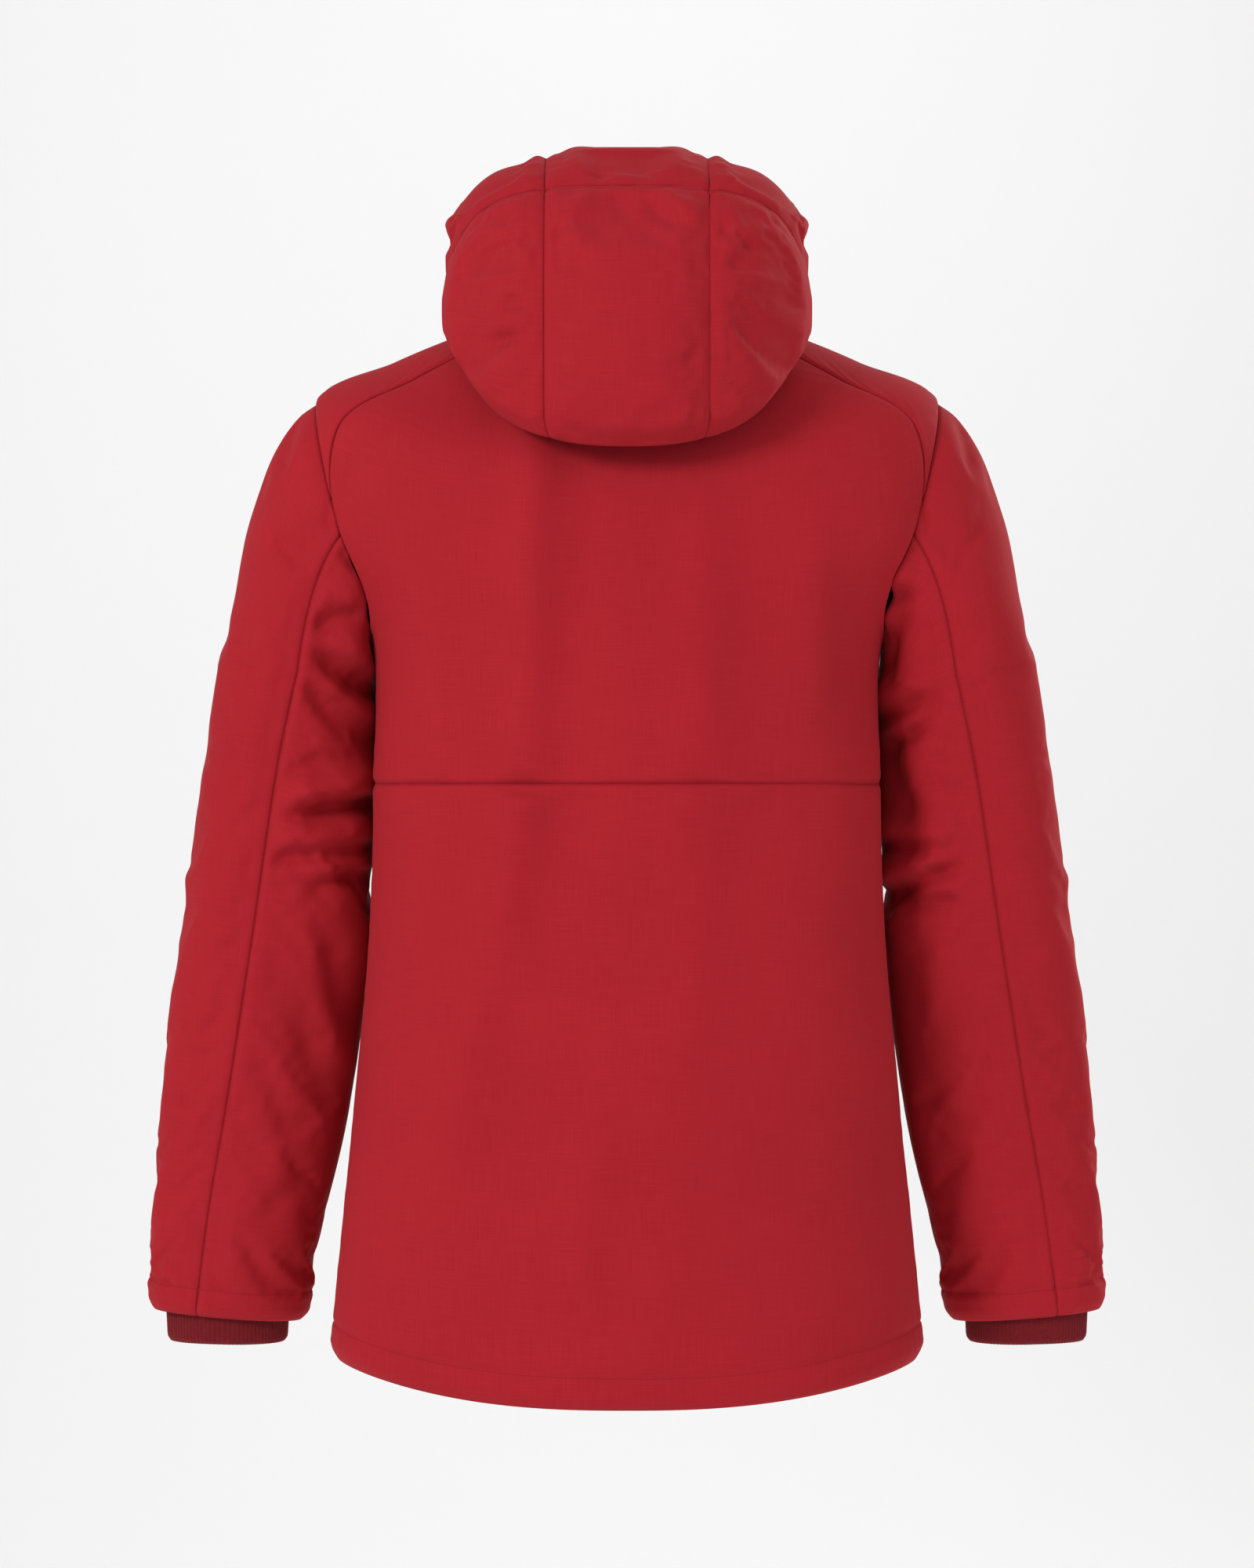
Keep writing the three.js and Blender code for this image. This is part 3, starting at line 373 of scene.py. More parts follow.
def meshPiece(name, vertices, faces, material, smoothFaces=False):
    mesh = bpy.data.meshes.new(name)
    mesh.from_pydata([tuple(p) for p in vertices], [], faces)
    mesh.materials.append(material)
    mesh.polygons.foreach_set("use_smooth", np.full(len(mesh.polygons), smoothFaces))
    piece = bpy.data.objects.new(name, mesh)
    bpy.context.collection.objects.link(piece)
    return piece


def gridOf(place, columns, rows):
    # a panel's own coordinates on its surface, row by row
    s, t = np.meshgrid(np.linspace(0, 1, columns + 1), np.linspace(0, 1, rows + 1))
    return place(s, t)


def onSide(side, grid):
    # the wearer's right is the left mirrored, its columns turned round to keep facing out
    if side == "left":
        return grid
    return grid[:, ::-1] * np.array([-1, 1, 1])


# ---- materials

def toLinear(code):
    # an sRGB hex colour as linear numbers
    channels = [int(code[i:i + 2], 16) / 255 for i in (1, 3, 5)]
    return [c / 12.92 if c <= 0.04045 else ((c + 0.055) / 1.055) ** 2.4 for c in channels] + [1]


def startMaterial(name):
    material = bpy.data.materials.new(name)
    material.use_nodes = True
    material.node_tree.nodes.clear()
    return material, material.node_tree


def addNode(tree, kind, settings=None, inputs=None, links=()):
    # settings are the node's own, inputs are socket values, links are (from socket, to input)
    node = tree.nodes.new(kind)
    for key, value in (settings or {}).items():
        setattr(node, key, value)
    for key, value in (inputs or {}).items():
        node.inputs[key].default_value = value
    for source, target in links:
        tree.links.new(source, node.inputs[target])
    return node


def wovenCloth(name, finish):
    # Plain-weave cloth: crossing threads a little uneven in thickness (slub), a soft sheen
    # from loose fibre ends, and broad, faint changes of colour where the dye took less.
    material, tree = startMaterial(name)
    threads = addNode(tree, "ShaderNodeTexCoord").outputs["UV"]
    bumps = []
    slubs = []
    length, width = finish["slubLength"], finish["slubWidth"]
    for alongX, alongY in ((length, width), (width, length)):
        scale = addNode(tree, "ShaderNodeMapping",
                        inputs={"Scale": (1 / (alongX * mm), 1 / (alongY * mm), 1)},
                        links=[(threads, "Vector")])
        slubs.append(addNode(tree, "ShaderNodeTexNoise",
                             inputs={"Scale": 1.0, "Detail": 2.0, "Roughness": 0.6},
                             links=[(scale.outputs["Vector"], "Vector")]))
    for direction in ("X", "Y"):
        # the real threads are about 0.2 mm apart: drawn coarser so that they show
        bumps.append(addNode(tree, "ShaderNodeTexWave",
                             {"wave_type": "BANDS", "bands_direction": direction},
                             {"Scale": 2 * math.pi / (finish["threadSpacing"] * mm) / 20, "Distortion": 0.6,
                              "Detail": 1.0, "Detail Scale": 0.4},
                             [(threads, "Vector")]))
    slub = addNode(tree, "ShaderNodeMath", {"operation": "ADD"},
                   links=[(slubs[0].outputs["Fac"], 0), (slubs[1].outputs["Fac"], 1)])
    dye = addNode(tree, "ShaderNodeTexNoise", inputs={"Scale": 9.0, "Detail": 3.0},
                  links=[(addNode(tree, "ShaderNodeTexCoord").outputs["Object"], "Vector")])
    shade = addNode(tree, "ShaderNodeMapRange",
                    inputs={"From Min": 0.7, "From Max": 1.3, "To Min": 0.0, "To Max": 1.0},
                    links=[(slub.outputs[0], "Value")])
    colour = addNode(tree, "ShaderNodeMix", {"data_type": "RGBA"},
                     links=[(shade.outputs[0], "Factor")])
    colour.inputs[6].default_value = toLinear(finish["dark"])
    colour.inputs[7].default_value = toLinear(finish["light"])
    patch = addNode(tree, "ShaderNodeMix", {"data_type": "RGBA", "blend_type": "MULTIPLY"},
                    {"Factor": 0.5}, [(colour.outputs[2], 6)])
    tint = addNode(tree, "ShaderNodeMapRange",
                   inputs={"From Min": 0.3, "From Max": 0.7, "To Min": 0.9, "To Max": 1.05},
                   links=[(dye.outputs["Fac"], "Value")])
    tree.links.new(tint.outputs[0], patch.inputs[7])
    weave = addNode(tree, "ShaderNodeMath", {"operation": "MULTIPLY"},
                    links=[(bumps[0].outputs["Fac"], 0), (bumps[1].outputs["Fac"], 1)])
    slubBump = addNode(tree, "ShaderNodeBump",
                       inputs={"Strength": finish["slubBump"], "Distance": 0.4 * mm},
                       links=[(slub.outputs[0], "Height")])
    threadBump = addNode(tree, "ShaderNodeBump",
                         inputs={"Strength": finish["threadBump"], "Distance": 0.2 * mm},
                         links=[(weave.outputs[0], "Height"), (slubBump.outputs["Normal"], "Normal")])
    shader = addNode(tree, "ShaderNodeBsdfPrincipled",
                     inputs={"Roughness": finish["roughness"], "IOR": 1.5,
                             "Specular IOR Level": finish["specular"],
                             "Sheen Weight": finish["sheen"], "Sheen Roughness": 0.5,
                             "Sheen Tint": toLinear(finish["sheenTint"])},
                     links=[(patch.outputs[2], "Base Color"), (threadBump.outputs["Normal"], "Normal")])
    addNode(tree, "ShaderNodeOutputMaterial", links=[(shader.outputs[0], "Surface")])
    return material


def plainPlastic(name, finish):
    # Moulded acetal or rubber, or painted metal: one colour, faint flow marks, uneven gloss.
    material, tree = startMaterial(name)
    place = addNode(tree, "ShaderNodeTexCoord").outputs["Object"]
    grain = addNode(tree, "ShaderNodeTexNoise", inputs={"Scale": 1 / (finish["grain"] * mm), "Detail": 3.0},
                    links=[(place, "Vector")])
    gloss = addNode(tree, "ShaderNodeMapRange", inputs={"To Min": finish["roughness"] - 0.08,
                                                        "To Max": finish["roughness"] + 0.08},
                    links=[(grain.outputs["Fac"], "Value")])
    bump = addNode(tree, "ShaderNodeBump", inputs={"Strength": 0.25, "Distance": 0.05 * mm},
                   links=[(grain.outputs["Fac"], "Height")])
    shader = addNode(tree, "ShaderNodeBsdfPrincipled",
                     inputs={"Base Color": toLinear(finish["colour"]), "Metallic": finish["metallic"]},
                     links=[(gloss.outputs[0], "Roughness"), (bump.outputs["Normal"], "Normal")])
    addNode(tree, "ShaderNodeOutputMaterial", links=[(shader.outputs[0], "Surface")])
    return material


shellFinish = {  # slubs and thread spacing in millimetres
    "dark": "#9f1a24", "light": "#aa212b", "slubLength": 30, "slubWidth": 0.5, "threadSpacing": 0.6,
    "slubBump": 0.05, "threadBump": 0.08, "roughness": 0.82, "specular": 0.1,
    "sheen": 0.05, "sheenTint": "#ff9a9a",
}
shellCloth = wovenCloth("plain-weave polyester", shellFinish)
ribCloth = wovenCloth("rib-knit polyester", {
    **shellFinish, "dark": "#5f0f15", "light": "#7c1a22", "roughness": 0.9, "sheen": 0.25,
    "specular": 0.15, "slubLength": 8, "threadBump": 0.3})
liningCloth = wovenCloth("polyester taffeta", {
    **shellFinish, "dark": "#1d1e22", "light": "#2b2c31", "roughness": 0.5, "sheen": 0.08,
    "sheenTint": "#9aa0b0", "slubBump": 0.06})
skirtCloth = wovenCloth("ripstop nylon", {
    **shellFinish, "dark": "#26272b", "light": "#34363b", "roughness": 0.55, "sheen": 0.08,
    "sheenTint": "#9aa0b0", "threadSpacing": 2.4, "threadBump": 0.3})
waddingCloth = wovenCloth("needled polyester wadding", {
    **shellFinish, "dark": "#cfccc2", "light": "#efece4", "roughness": 0.95, "sheen": 0.3,
    "sheenTint": "#ffffff"})
tapeCloth = wovenCloth("herringbone polyester tape", {
    **shellFinish, "dark": "#6a141a", "light": "#84202a", "threadSpacing": 0.9, "threadBump": 0.4})
threadCloth = wovenCloth("spun polyester thread", {
    **shellFinish, "dark": "#8a1820", "light": "#a5262f", "threadSpacing": 0.5, "threadBump": 0.5})
toothPlastic = plainPlastic("moulded acetal", {
    "colour": "#6d151b", "grain": 3, "roughness": 0.42, "metallic": 0})
pullRubber = plainPlastic("moulded rubber", {
    "colour": "#7d1820", "grain": 2, "roughness": 0.6, "metallic": 0})
zipMetal = plainPlastic("painted zinc casting", {
    "colour": "#3c3e42", "grain": 4, "roughness": 0.38, "metallic": 0.9})


# ---- camera, light and floor

view = {"distance": 3.0, "height": -0.332, "seen": 1.18}
camera = bpy.data.objects.new("camera", bpy.data.cameras.new("camera"))
bpy.context.collection.objects.link(camera)
camera.location = (0, view["distance"], view["height"])
camera.rotation_euler = (math.radians(90), 0, math.radians(180))
camera.data.sensor_width = 36
camera.data.lens = 36 * view["distance"] / view["seen"]
bpy.context.scene.camera = camera


def addLamp(name, place, aim, size, power):
    lamp = bpy.data.lights.new(name, "AREA")
    lamp.shape = "DISK"
    lamp.size = size
    lamp.energy = power
    holder = bpy.data.objects.new(name, lamp)
    bpy.context.collection.objects.link(holder)
    holder.location = place
    holder.rotation_euler = (Vector(aim) - Vector(place)).to_track_quat("-Z", "Y").to_euler()


addLamp("key light", (2.5, 2.8, 1.15), (0, 0, -0.3), 1.3, 81)
addLamp("fill light", (-3.0, 2.4, 0.6), (0, 0, -0.35), 2.4, 22)
addLamp("front key light", (-2.6, -2.4, 1.4), (0, 0, -0.3), 1.6, 60)
addLamp("backdrop light", (0, -2.8, 2.6), (0, -6, -2.2), 3.0, 41)
world = bpy.data.worlds.new("studio")
world.use_nodes = True
world.node_tree.nodes["Background"].inputs["Color"].default_value = toLinear("#f4f4f4")
world.node_tree.nodes["Background"].inputs["Strength"].default_value = 0.62
bpy.context.scene.world = world
bpy.context.scene.view_settings.view_transform = "Standard"

floorShape = {"z": -1.9, "reach": 9.0, "wall": -6.0, "bend": 2.0, "bendSteps": 12, "top": 5.0}
profile = [(floorShape["reach"], floorShape["z"])]
for step in range(floorShape["bendSteps"] + 1):
    a = math.radians(90 * step / floorShape["bendSteps"])
    profile.append((floorShape["wall"] + floorShape["bend"] * (1 - math.sin(a)),
                    floorShape["z"] + floorShape["bend"] * (1 - math.cos(a))))
profile.append((floorShape["wall"], floorShape["top"]))
corners = [(x, y, z) for y, z in profile for x in (-floorShape["reach"], floorShape["reach"])]
paper, paperTree = startMaterial("matt backdrop paper")
paperGrain = addNode(paperTree, "ShaderNodeTexNoise", inputs={"Scale": 300.0})
paperBump = addNode(paperTree, "ShaderNodeBump", inputs={"Strength": 0.03, "Distance": 0.0005},
                    links=[(paperGrain.outputs["Fac"], "Height")])
paperShader = addNode(paperTree, "ShaderNodeBsdfPrincipled",
                      inputs={"Base Color": toLinear("#fbfbfb"), "Roughness": 0.9, "Specular IOR Level": 0.1},
                      links=[(paperBump.outputs["Normal"], "Normal")])
addNode(paperTree, "ShaderNodeOutputMaterial", links=[(paperShader.outputs[0], "Surface")])
strips = [(i, i + 1, i + 3, i + 2) for i in range(0, len(corners) - 2, 2)]
meshPiece("backdrop", corners, strips, paper, smoothFaces=True)
print("camera, lights and floor are set")


# ---- slack cloth: a simulation of each surface, held along its seams

def simulateSlack(name, surface, spans, columns, rows, ring, held, give):
    # The cloth is cut a little larger than the space between its seams, and the air in the
    # padding pushes it outwards, so it buckles as real cloth does. Returns how far each
    # point moved, in millimetres.
    (a0, a1), (b0, b1) = spans
    a, b = np.meshgrid(np.linspace(a0, a1, columns + 1), np.linspace(b0, b1, rows + 1))
    if ring:
        a, b = a[:, :-1], b[:, :-1]
    rest = surface(a, b)
    piece = layCloth(name, rest, shellCloth, thickness=0, ring=ring)
    pins = piece.vertex_groups.new(name="held")
    pinned = held(a, b).ravel()
    for i in np.flatnonzero(pinned > 0):
        pins.add([int(i)], float(pinned[i]), "REPLACE")
    cloth = piece.modifiers.new("cloth", "CLOTH")
    settings = cloth.settings
    settings.vertex_group_mass = "held"
    settings.quality = 5
    settings.mass = 0.12
    settings.tension_stiffness = 20
    settings.compression_stiffness = 20
    settings.shear_stiffness = 8
    settings.bending_stiffness = give["stiffness"]
    settings.shrink_min = -give["extra"]
    settings.use_pressure = True
    settings.uniform_pressure_force = give["pressure"]
    settings.effector_weights.gravity = give["weight"]
    cloth.collision_settings.use_collision = False
    frames = give["frames"]
    cloth.point_cache.frame_end = frames
    for frameNumber in range(1, frames + 1):
        bpy.context.scene.frame_set(frameNumber)
    settled = piece.evaluated_get(bpy.context.evaluated_depsgraph_get()).data
    moved = np.zeros(len(settled.vertices) * 3, np.float32)
    settled.vertices.foreach_get("co", moved)
    moved = moved.reshape(rest.shape) / mm - rest
    bpy.data.objects.remove(piece)
    bpy.context.scene.frame_set(1)
    far = np.linalg.norm(moved, axis=-1, keepdims=True)
    moved = moved * np.tanh(far / give["most"]) * give["most"] / np.maximum(far, 1e-6)
    print(f"{name} simulated, moved up to {far.max():.1f} mm")
    return {"moved": moved, "spans": spans, "ring": ring}


def slackAt(slack, a, b):
    # the movement at any place of the surface, smoothly between the simulated points
    if slack is None:
        return np.zeros((*a.shape, 3))
    moved, ((a0, a1), (b0, b1)) = slack["moved"], slack["spans"]
    columns = moved.shape[1] if slack["ring"] else moved.shape[1] - 1
    x = (a - a0) / (a1 - a0) * columns
    y = np.clip((b - b0) / (b1 - b0), 0, 1) * (moved.shape[0] - 1)
    if not slack["ring"]:
        x = np.clip(x, 0, columns)
    i, j = np.floor(x).astype(int), np.floor(y).astype(int)
    weights = lambda t: ((-t**3 + 2 * t**2 - t) / 2, (3 * t**3 - 5 * t**2 + 2) / 2,
                         (-3 * t**3 + 4 * t**2 + t) / 2, (t**3 - t**2) / 2)
    total = 0
    for m, across in enumerate(weights(x - i)):
        for n, up in enumerate(weights(y - j)):
            column = i + m - 1
            column = column % columns if slack["ring"] else np.clip(column, 0, moved.shape[1] - 1)
            row = np.clip(j + n - 1, 0, moved.shape[0] - 1)
            total = total + moved[row, column] * (across * up)[..., None]
    return total


# ---- seams, puckers and folds

def foldShift(points, normal, folds, facing):
    # soft creases seen from one side: each runs from (x, z) to (x, z), with its depth and
    # width. One bank of a crease stands up as a rounded ridge, the other stays low.
    turned = smooth(-0.1, 0.35, normal @ np.array(facing, float))
    shift = np.zeros(points.shape[:2])
    for x0, z0, x1, z1, depth, width in folds:
        line = np.array([x1 - x0, z1 - z0], float)
        length = np.linalg.norm(line)
        away = np.stack([points[..., 0] - x0, points[..., 2] - z0], -1)
        share = away @ line / length**2
        off = (away[..., 0] * line[1] - away[..., 1] * line[0]) / length
        taper = smooth(-0.15, 0.3, share) * (1 - smooth(0.7, 1.15, share))
        valley = -np.exp(-(off / width) ** 2)
        ridge = 0.6 * np.exp(-((off - 2.0 * width) / (1.4 * width)) ** 2)
        shift += depth * taper * (valley + ridge)
    return shift * turned


def clothGrid(surface, a, b, cut, seed, slack=None, depth=0):
    # A panel's final points. cut says how it is sewn: edges rolls the cloth in, by
    # (depth, width) at each sewn edge, and lines are rows of stitches at a distance from
    # an edge. depth puts a lining or wadding that far inside.
    base = surface(a, b)
    normal = outwards(surface, a, b)
    reach = edgeDistances(base)
    free = np.ones(base.shape[:2])
    nearest = np.full(base.shape[:2], 1e3)
    for edge in cut.get("edges", {}):
        free = free * smooth(0, 26, reach[edge])
        nearest = np.minimum(nearest, reach[edge])
    girth = np.arctan2(base[..., 1] - 20, base[..., 0]) * 180
    heights = base[..., 2]
    hills = softNoise(girth, heights * 0.19, 62, seed)
    hills = hills + 0.25 * softNoise(girth, heights * 0.45, 24, seed + 7)
    shift = cut.get("drape", 0) * (hills - 0.4) * free + cut.get("puff", 0) * smooth(0, 45, nearest)
    shift += foldShift(base, normal, cut.get("folds", ()), (0, 1, 0)) * smooth(0, 0.4, free)
    for edge, (roll, width) in cut.get("edges", {}).items():
        gone = reach[edge]
        lengthwise = reach["low"] if edge in ("left", "right") else reach["left"]
        ripple = softNoise(lengthwise, 0 * lengthwise, 8, seed)
        ripple = ripple + 0.7 * softNoise(lengthwise, gone * 0.3, 19, seed + 1)
        shift -= roll * np.clip(1 - gone / width, 0, 1) ** 1.7
        shift += cut.get("pucker", 0.5) * ripple * (1 - smooth(2, 30, gone)) * smooth(0, 6, gone)
    for edge, distance in cut.get("lines", ()):
        gone = np.abs(reach[edge] - distance)
        lengthwise = reach["low"] if edge in ("left", "right") else reach["left"]
        ripple = softNoise(lengthwise, 0 * lengthwise, 7, seed + 2)
        shift += -1.1 * np.exp(-(gone / 2.2) ** 2) + 0.45 * ripple * np.exp(-((gone - 7) / 6) ** 2)
    if depth:  # the layers inside follow the valleys, and stay clear of the seams
        shift = np.minimum(shift, 0)
    slackShare = smooth(0, 1, free) if depth == 0 else free
    moved = slackAt(slack, a, b) * slackShare[..., None]
    return base + moved + normal * (shift - depth)[..., None]


def finishPiece(piece, body, nodes=()):
    # body is a CAD body's name, or a function that is given the piece; the ones used here only bake its transform
    # in place
    if callable(body):
        body(piece)
    else:
        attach(piece, body)
    if nodes:
        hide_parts(*nodes)
    return piece


def lineAt(grid, edge, distance):
    # a line on the cloth at a distance from one of its edges: points and outward directions
    turned = edge in ("left", "right")
    reach = edgeDistances(grid)[edge]
    values = np.concatenate([grid, normalsOf(grid)], -1)
    if turned:
        values, reach = values.swapaxes(0, 1), reach.T
    line = []
    for column in range(values.shape[1]):
        order = np.argsort(reach[:, column])
        line.append([np.interp(distance, reach[order, column], values[order, column, k]) for k in range(6)])
    line = np.array(line)
    return line[:, :3], unit(line[:, 3:])


# ---- things repeated along a line: stitches and zip teeth

def buildRepeat():
    # puts one item at every pitch along the lines, x along the line and z outwards
    tree = bpy.data.node_groups.new("repeat along lines", "GeometryNodeTree")
    sockets = {}
    for label, kind in (("Lines", "NodeSocketGeometry"), ("Item", "NodeSocketObject"),
                        ("Pitch", "NodeSocketFloat"), ("Finish", "NodeSocketMaterial")):
        sockets[label] = tree.interface.new_socket(label, in_out="INPUT", socket_type=kind).identifier
    tree.interface.new_socket("Pieces", in_out="OUTPUT", socket_type="NodeSocketGeometry")
    given = tree.nodes.new("NodeGroupInput").outputs
    curve = addNode(tree, "GeometryNodeMeshToCurve", links=[(given["Lines"], "Mesh")])
    points = addNode(tree, "GeometryNodeCurveToPoints", {"mode": "LENGTH"},
                     links=[(curve.outputs["Curve"], "Curve"), (given["Pitch"], "Length")])
    outward = addNode(tree, "GeometryNodeInputNamedAttribute", {"data_type": "FLOAT_VECTOR"},
                      {"Name": "outward"})
    along = addNode(tree, "FunctionNodeAlignRotationToVector", {"axis": "X"},
                    links=[(points.outputs["Tangent"], "Vector")])
    upright = addNode(tree, "FunctionNodeAlignRotationToVector", {"axis": "Z", "pivot_axis": "X"},
                      links=[(along.outputs["Rotation"], "Rotation"),
                             (outward.outputs["Attribute"], "Vector")])
    item = addNode(tree, "GeometryNodeObjectInfo", links=[(given["Item"], "Object")])
    placed = addNode(tree, "GeometryNodeInstanceOnPoints",
                     links=[(points.outputs["Points"], "Points"), (item.outputs["Geometry"], "Instance"),
                            (upright.outputs["Rotation"], "Rotation")])
    real = addNode(tree, "GeometryNodeRealizeInstances", links=[(placed.outputs["Instances"], "Geometry")])
    finish = addNode(tree, "GeometryNodeSetMaterial",
                     links=[(real.outputs["Geometry"], "Geometry"), (given["Finish"], "Material")])
    addNode(tree, "NodeGroupOutput", links=[(finish.outputs["Geometry"], "Pieces")])
    return tree, sockets


repeatTree, repeatSockets = buildRepeat()


def repeatAlong(name, lines, item, pitch, material, lift=0.0):
    # lines are (points, outward directions) in millimetres
    vertices, edges, outward = [], [], []
    for points, directions in lines:
        start = len(vertices)
        vertices += list((points + directions * lift) * mm)
        outward += list(directions)
        edges += [(start + i, start + i + 1) for i in range(len(points) - 1)]
    mesh = bpy.data.meshes.new(name)
    mesh.from_pydata([tuple(p) for p in vertices], edges, [])
    attribute = mesh.attributes.new("outward", "FLOAT_VECTOR", "POINT")
    attribute.data.foreach_set("vector", np.array(outward, np.float32).ravel())
    source = bpy.data.objects.new(name + "Lines", mesh)
    bpy.context.collection.objects.link(source)
    nodes = source.modifiers.new("repeat", "NODES")
    nodes.node_group = repeatTree
    for label, value in (("Item", item), ("Pitch", pitch * mm), ("Finish", material)):
        nodes[repeatSockets[label]] = value
    evaluated = source.evaluated_get(bpy.context.evaluated_depsgraph_get())
    made = bpy.data.meshes.new_from_object(evaluated)
    bpy.data.objects.remove(source)
    made.name = name
    piece = bpy.data.objects.new(name, made)
    bpy.context.collection.objects.link(piece)
    return piece


def itemMesh(name, sections, smoothFaces=True):
    # a small solid along x: each section is (x, half width, half height), six-sided
    corners = [(math.cos(math.radians(60 * k)), math.sin(math.radians(60 * k))) for k in range(6)]
    vertices = [(x * mm, c * w * mm, s * h * mm) for x, w, h in sections for c, s in corners]
    faces = [(i * 6 + k, i * 6 + (k + 1) % 6, i * 6 + 6 + (k + 1) % 6, i * 6 + 6 + k)
             for i in range(len(sections) - 1) for k in range(6)]
    last = 6 * (len(sections) - 1)
    faces += [tuple(range(5, -1, -1)), tuple(range(last, last + 6))]
    item = meshPiece(name, vertices, faces, threadCloth, smoothFaces)
    item.hide_render = True
    return item


stitch = itemMesh("stitchItem", [(-1.15, 0.14, 0.1), (-0.8, 0.3, 0.2), (0.8, 0.3, 0.2), (1.15, 0.14, 0.1)])
mainTooth = itemMesh("mainToothItem",
                     [(-0.55, 1.7, 0.75), (-0.35, 2.0, 0.95), (0.35, 2.0, 0.95), (0.55, 1.7, 0.75)], False)
smallTooth = itemMesh("smallToothItem",
                      [(-0.4, 1.1, 0.5), (-0.25, 1.3, 0.65), (0.25, 1.3, 0.65), (0.4, 1.1, 0.5)], False)
print("ready to make pieces")

# ---- simulated slack

def nearSeam(distance, cell):
    return (np.abs(distance) < cell).astype(float)


hoodHalfLean = 86
hoodSpan = ((-hoodHalfLean, hoodHalfLean), (hoodRows["brim"], hoodRows["end"]))


def heldHood(lean, v):
    cell = hoodHalfLean / 30 * 0.6
    held = nearSeam(np.abs(lean) - hoodLean(v, hoodSeamX), cell) + nearSeam(v - hoodRows["crown"], 0.07)
    held = np.maximum(held, (v < hoodRows["brim"] + 0.01) | (v > hoodRows["end"] - 0.01))
    return np.minimum(np.maximum(held, np.abs(lean) > hoodHalfLean - 1), 1)


def heldSleeve(turn, w):
    cell = 360 / 52 * 0.55
    back = (turn - backSeamTurn(w) + 180) % 360 - 180
    front = (turn - frontSeamTurn(w) + 180) % 360 - 180
    held = nearSeam(back, cell) + nearSeam(front, cell)
    return np.minimum(np.maximum(held, (w < -0.95) | (w > cuffRow - 0.2)), 1)


hoodSlack = simulateSlack("hood cloth", hoodPoint, hoodSpan, 60, 70, False,
                          heldHood, {"stiffness": 0.4, "extra": 0.03, "pressure": 1.2, "weight": 0.2,
                                     "frames": 26, "most": 5})
sleeveSlack = simulateSlack("sleeve cloth", sleevePoint, ((0, 360), (-1, cuffRow)), 52, 84, True,
                            heldSleeve, {"stiffness": 0.5, "extra": 0.02, "pressure": -0.8, "weight": 0.5,
                                         "frames": 26, "most": 3.2})

# ---- body

shoulderRows = np.concatenate([np.linspace(5, 6.3, 14)[1:], np.linspace(6.3, 10, 14)[1:]])
bodyRows = {
    "lower": np.linspace(0, 4, 17),
    "upper": np.concatenate([np.linspace(4, 5, 5), shoulderRows]),
    "whole": np.concatenate([np.linspace(0, 5, 21), shoulderRows]),
}
seamRoll = (1.5, 5)
backSeamRoll = (1.6, 6)
hemRoll = (6, 12)
hemStitch = 25
backFolds = [  # broad upright waves of the back, from top to bottom
    (66, -40, 74, -345, -6.0, 17), (74, -325, 96, -450, -6.0, 18), (94, -420, 145, -660, -4.5, 22),
    (-54, -110, -57, -345, -4.6, 20), (-57, -325, -45, -540, -3.6, 22), (-138, -140, -135, -300, -3.6, 16),
    (150, -170, 138, -340, -3.2, 18), (142, -330, 158, -490, -3.6, 20), (20, -560, 35, -720, -2.4, 17),
]
backCut = {"drape": 1.6, "folds": backFolds, "pucker": 0.3}
stitchLines = {"jacket_body": []}

a, b = gridOf(backSurface(bodyRows["lower"]), 180, 180)
lowerEdges = {"low": hemRoll, "left": seamRoll, "right": seamRoll, "high": backSeamRoll}
backLower = clothGrid(bodyPoint, a, b, {**backCut, "edges": lowerEdges, "lines": [("low", hemStitch)]}, 3)
a, b = gridOf(backSurface(bodyRows["upper"]), 180, 180)
upperEdges = {"left": seamRoll, "right": seamRoll, "low": backSeamRoll, "high": seamRoll}
backUpper = clothGrid(bodyPoint, a, b, {**backCut, "edges": upperEdges}, 3)
finishPiece(layCloth("backLowerPanel", backLower, shellCloth), "jacket_body", ["back_lower"])
finishPiece(layCloth("backUpperPanel", backUpper, shellCloth), "jacket_body", ["back_upper"])
stitchLines["jacket_body"].append(lineAt(backLower, "low", hemStitch))

for side in sides:
    cut = {"drape": 1.6, "pucker": 0.35, "lines": [("low", hemStitch), ("left", 9)],
           "edges": {"low": hemRoll, "right": seamRoll, "high": seamRoll}}
    a, b = gridOf(frontSurface(bodyRows["whole"]), 100, 240)
    front = clothGrid(bodyPoint, a, b, cut, 5 if side == "left" else 8)
    finishPiece(layCloth(f"frontPanel_{side}", onSide(side, front), shellCloth), "jacket_body",
                [f"front_{side}"])
    for edge, distance in cut["lines"]:
        points, directions = lineAt(front, edge, distance)
        stitchLines["jacket_body"].append((points * [sides[side], 1, 1], directions * [sides[side], 1, 1]))
    a, b = gridOf(yokeSurface, 90, 90)
    yokeEdges = {key: seamRoll for key in ("left", "right", "low", "high")}
    yoke = clothGrid(bodyPoint, a, b, {"pucker": 0.3, "edges": yokeEdges}, 14)
    finishPiece(layCloth(f"shoulderYoke_{side}", onSide(side, yoke), shellCloth), "jacket_body",
                [f"yoke_{side}"])
print("body panels are made")

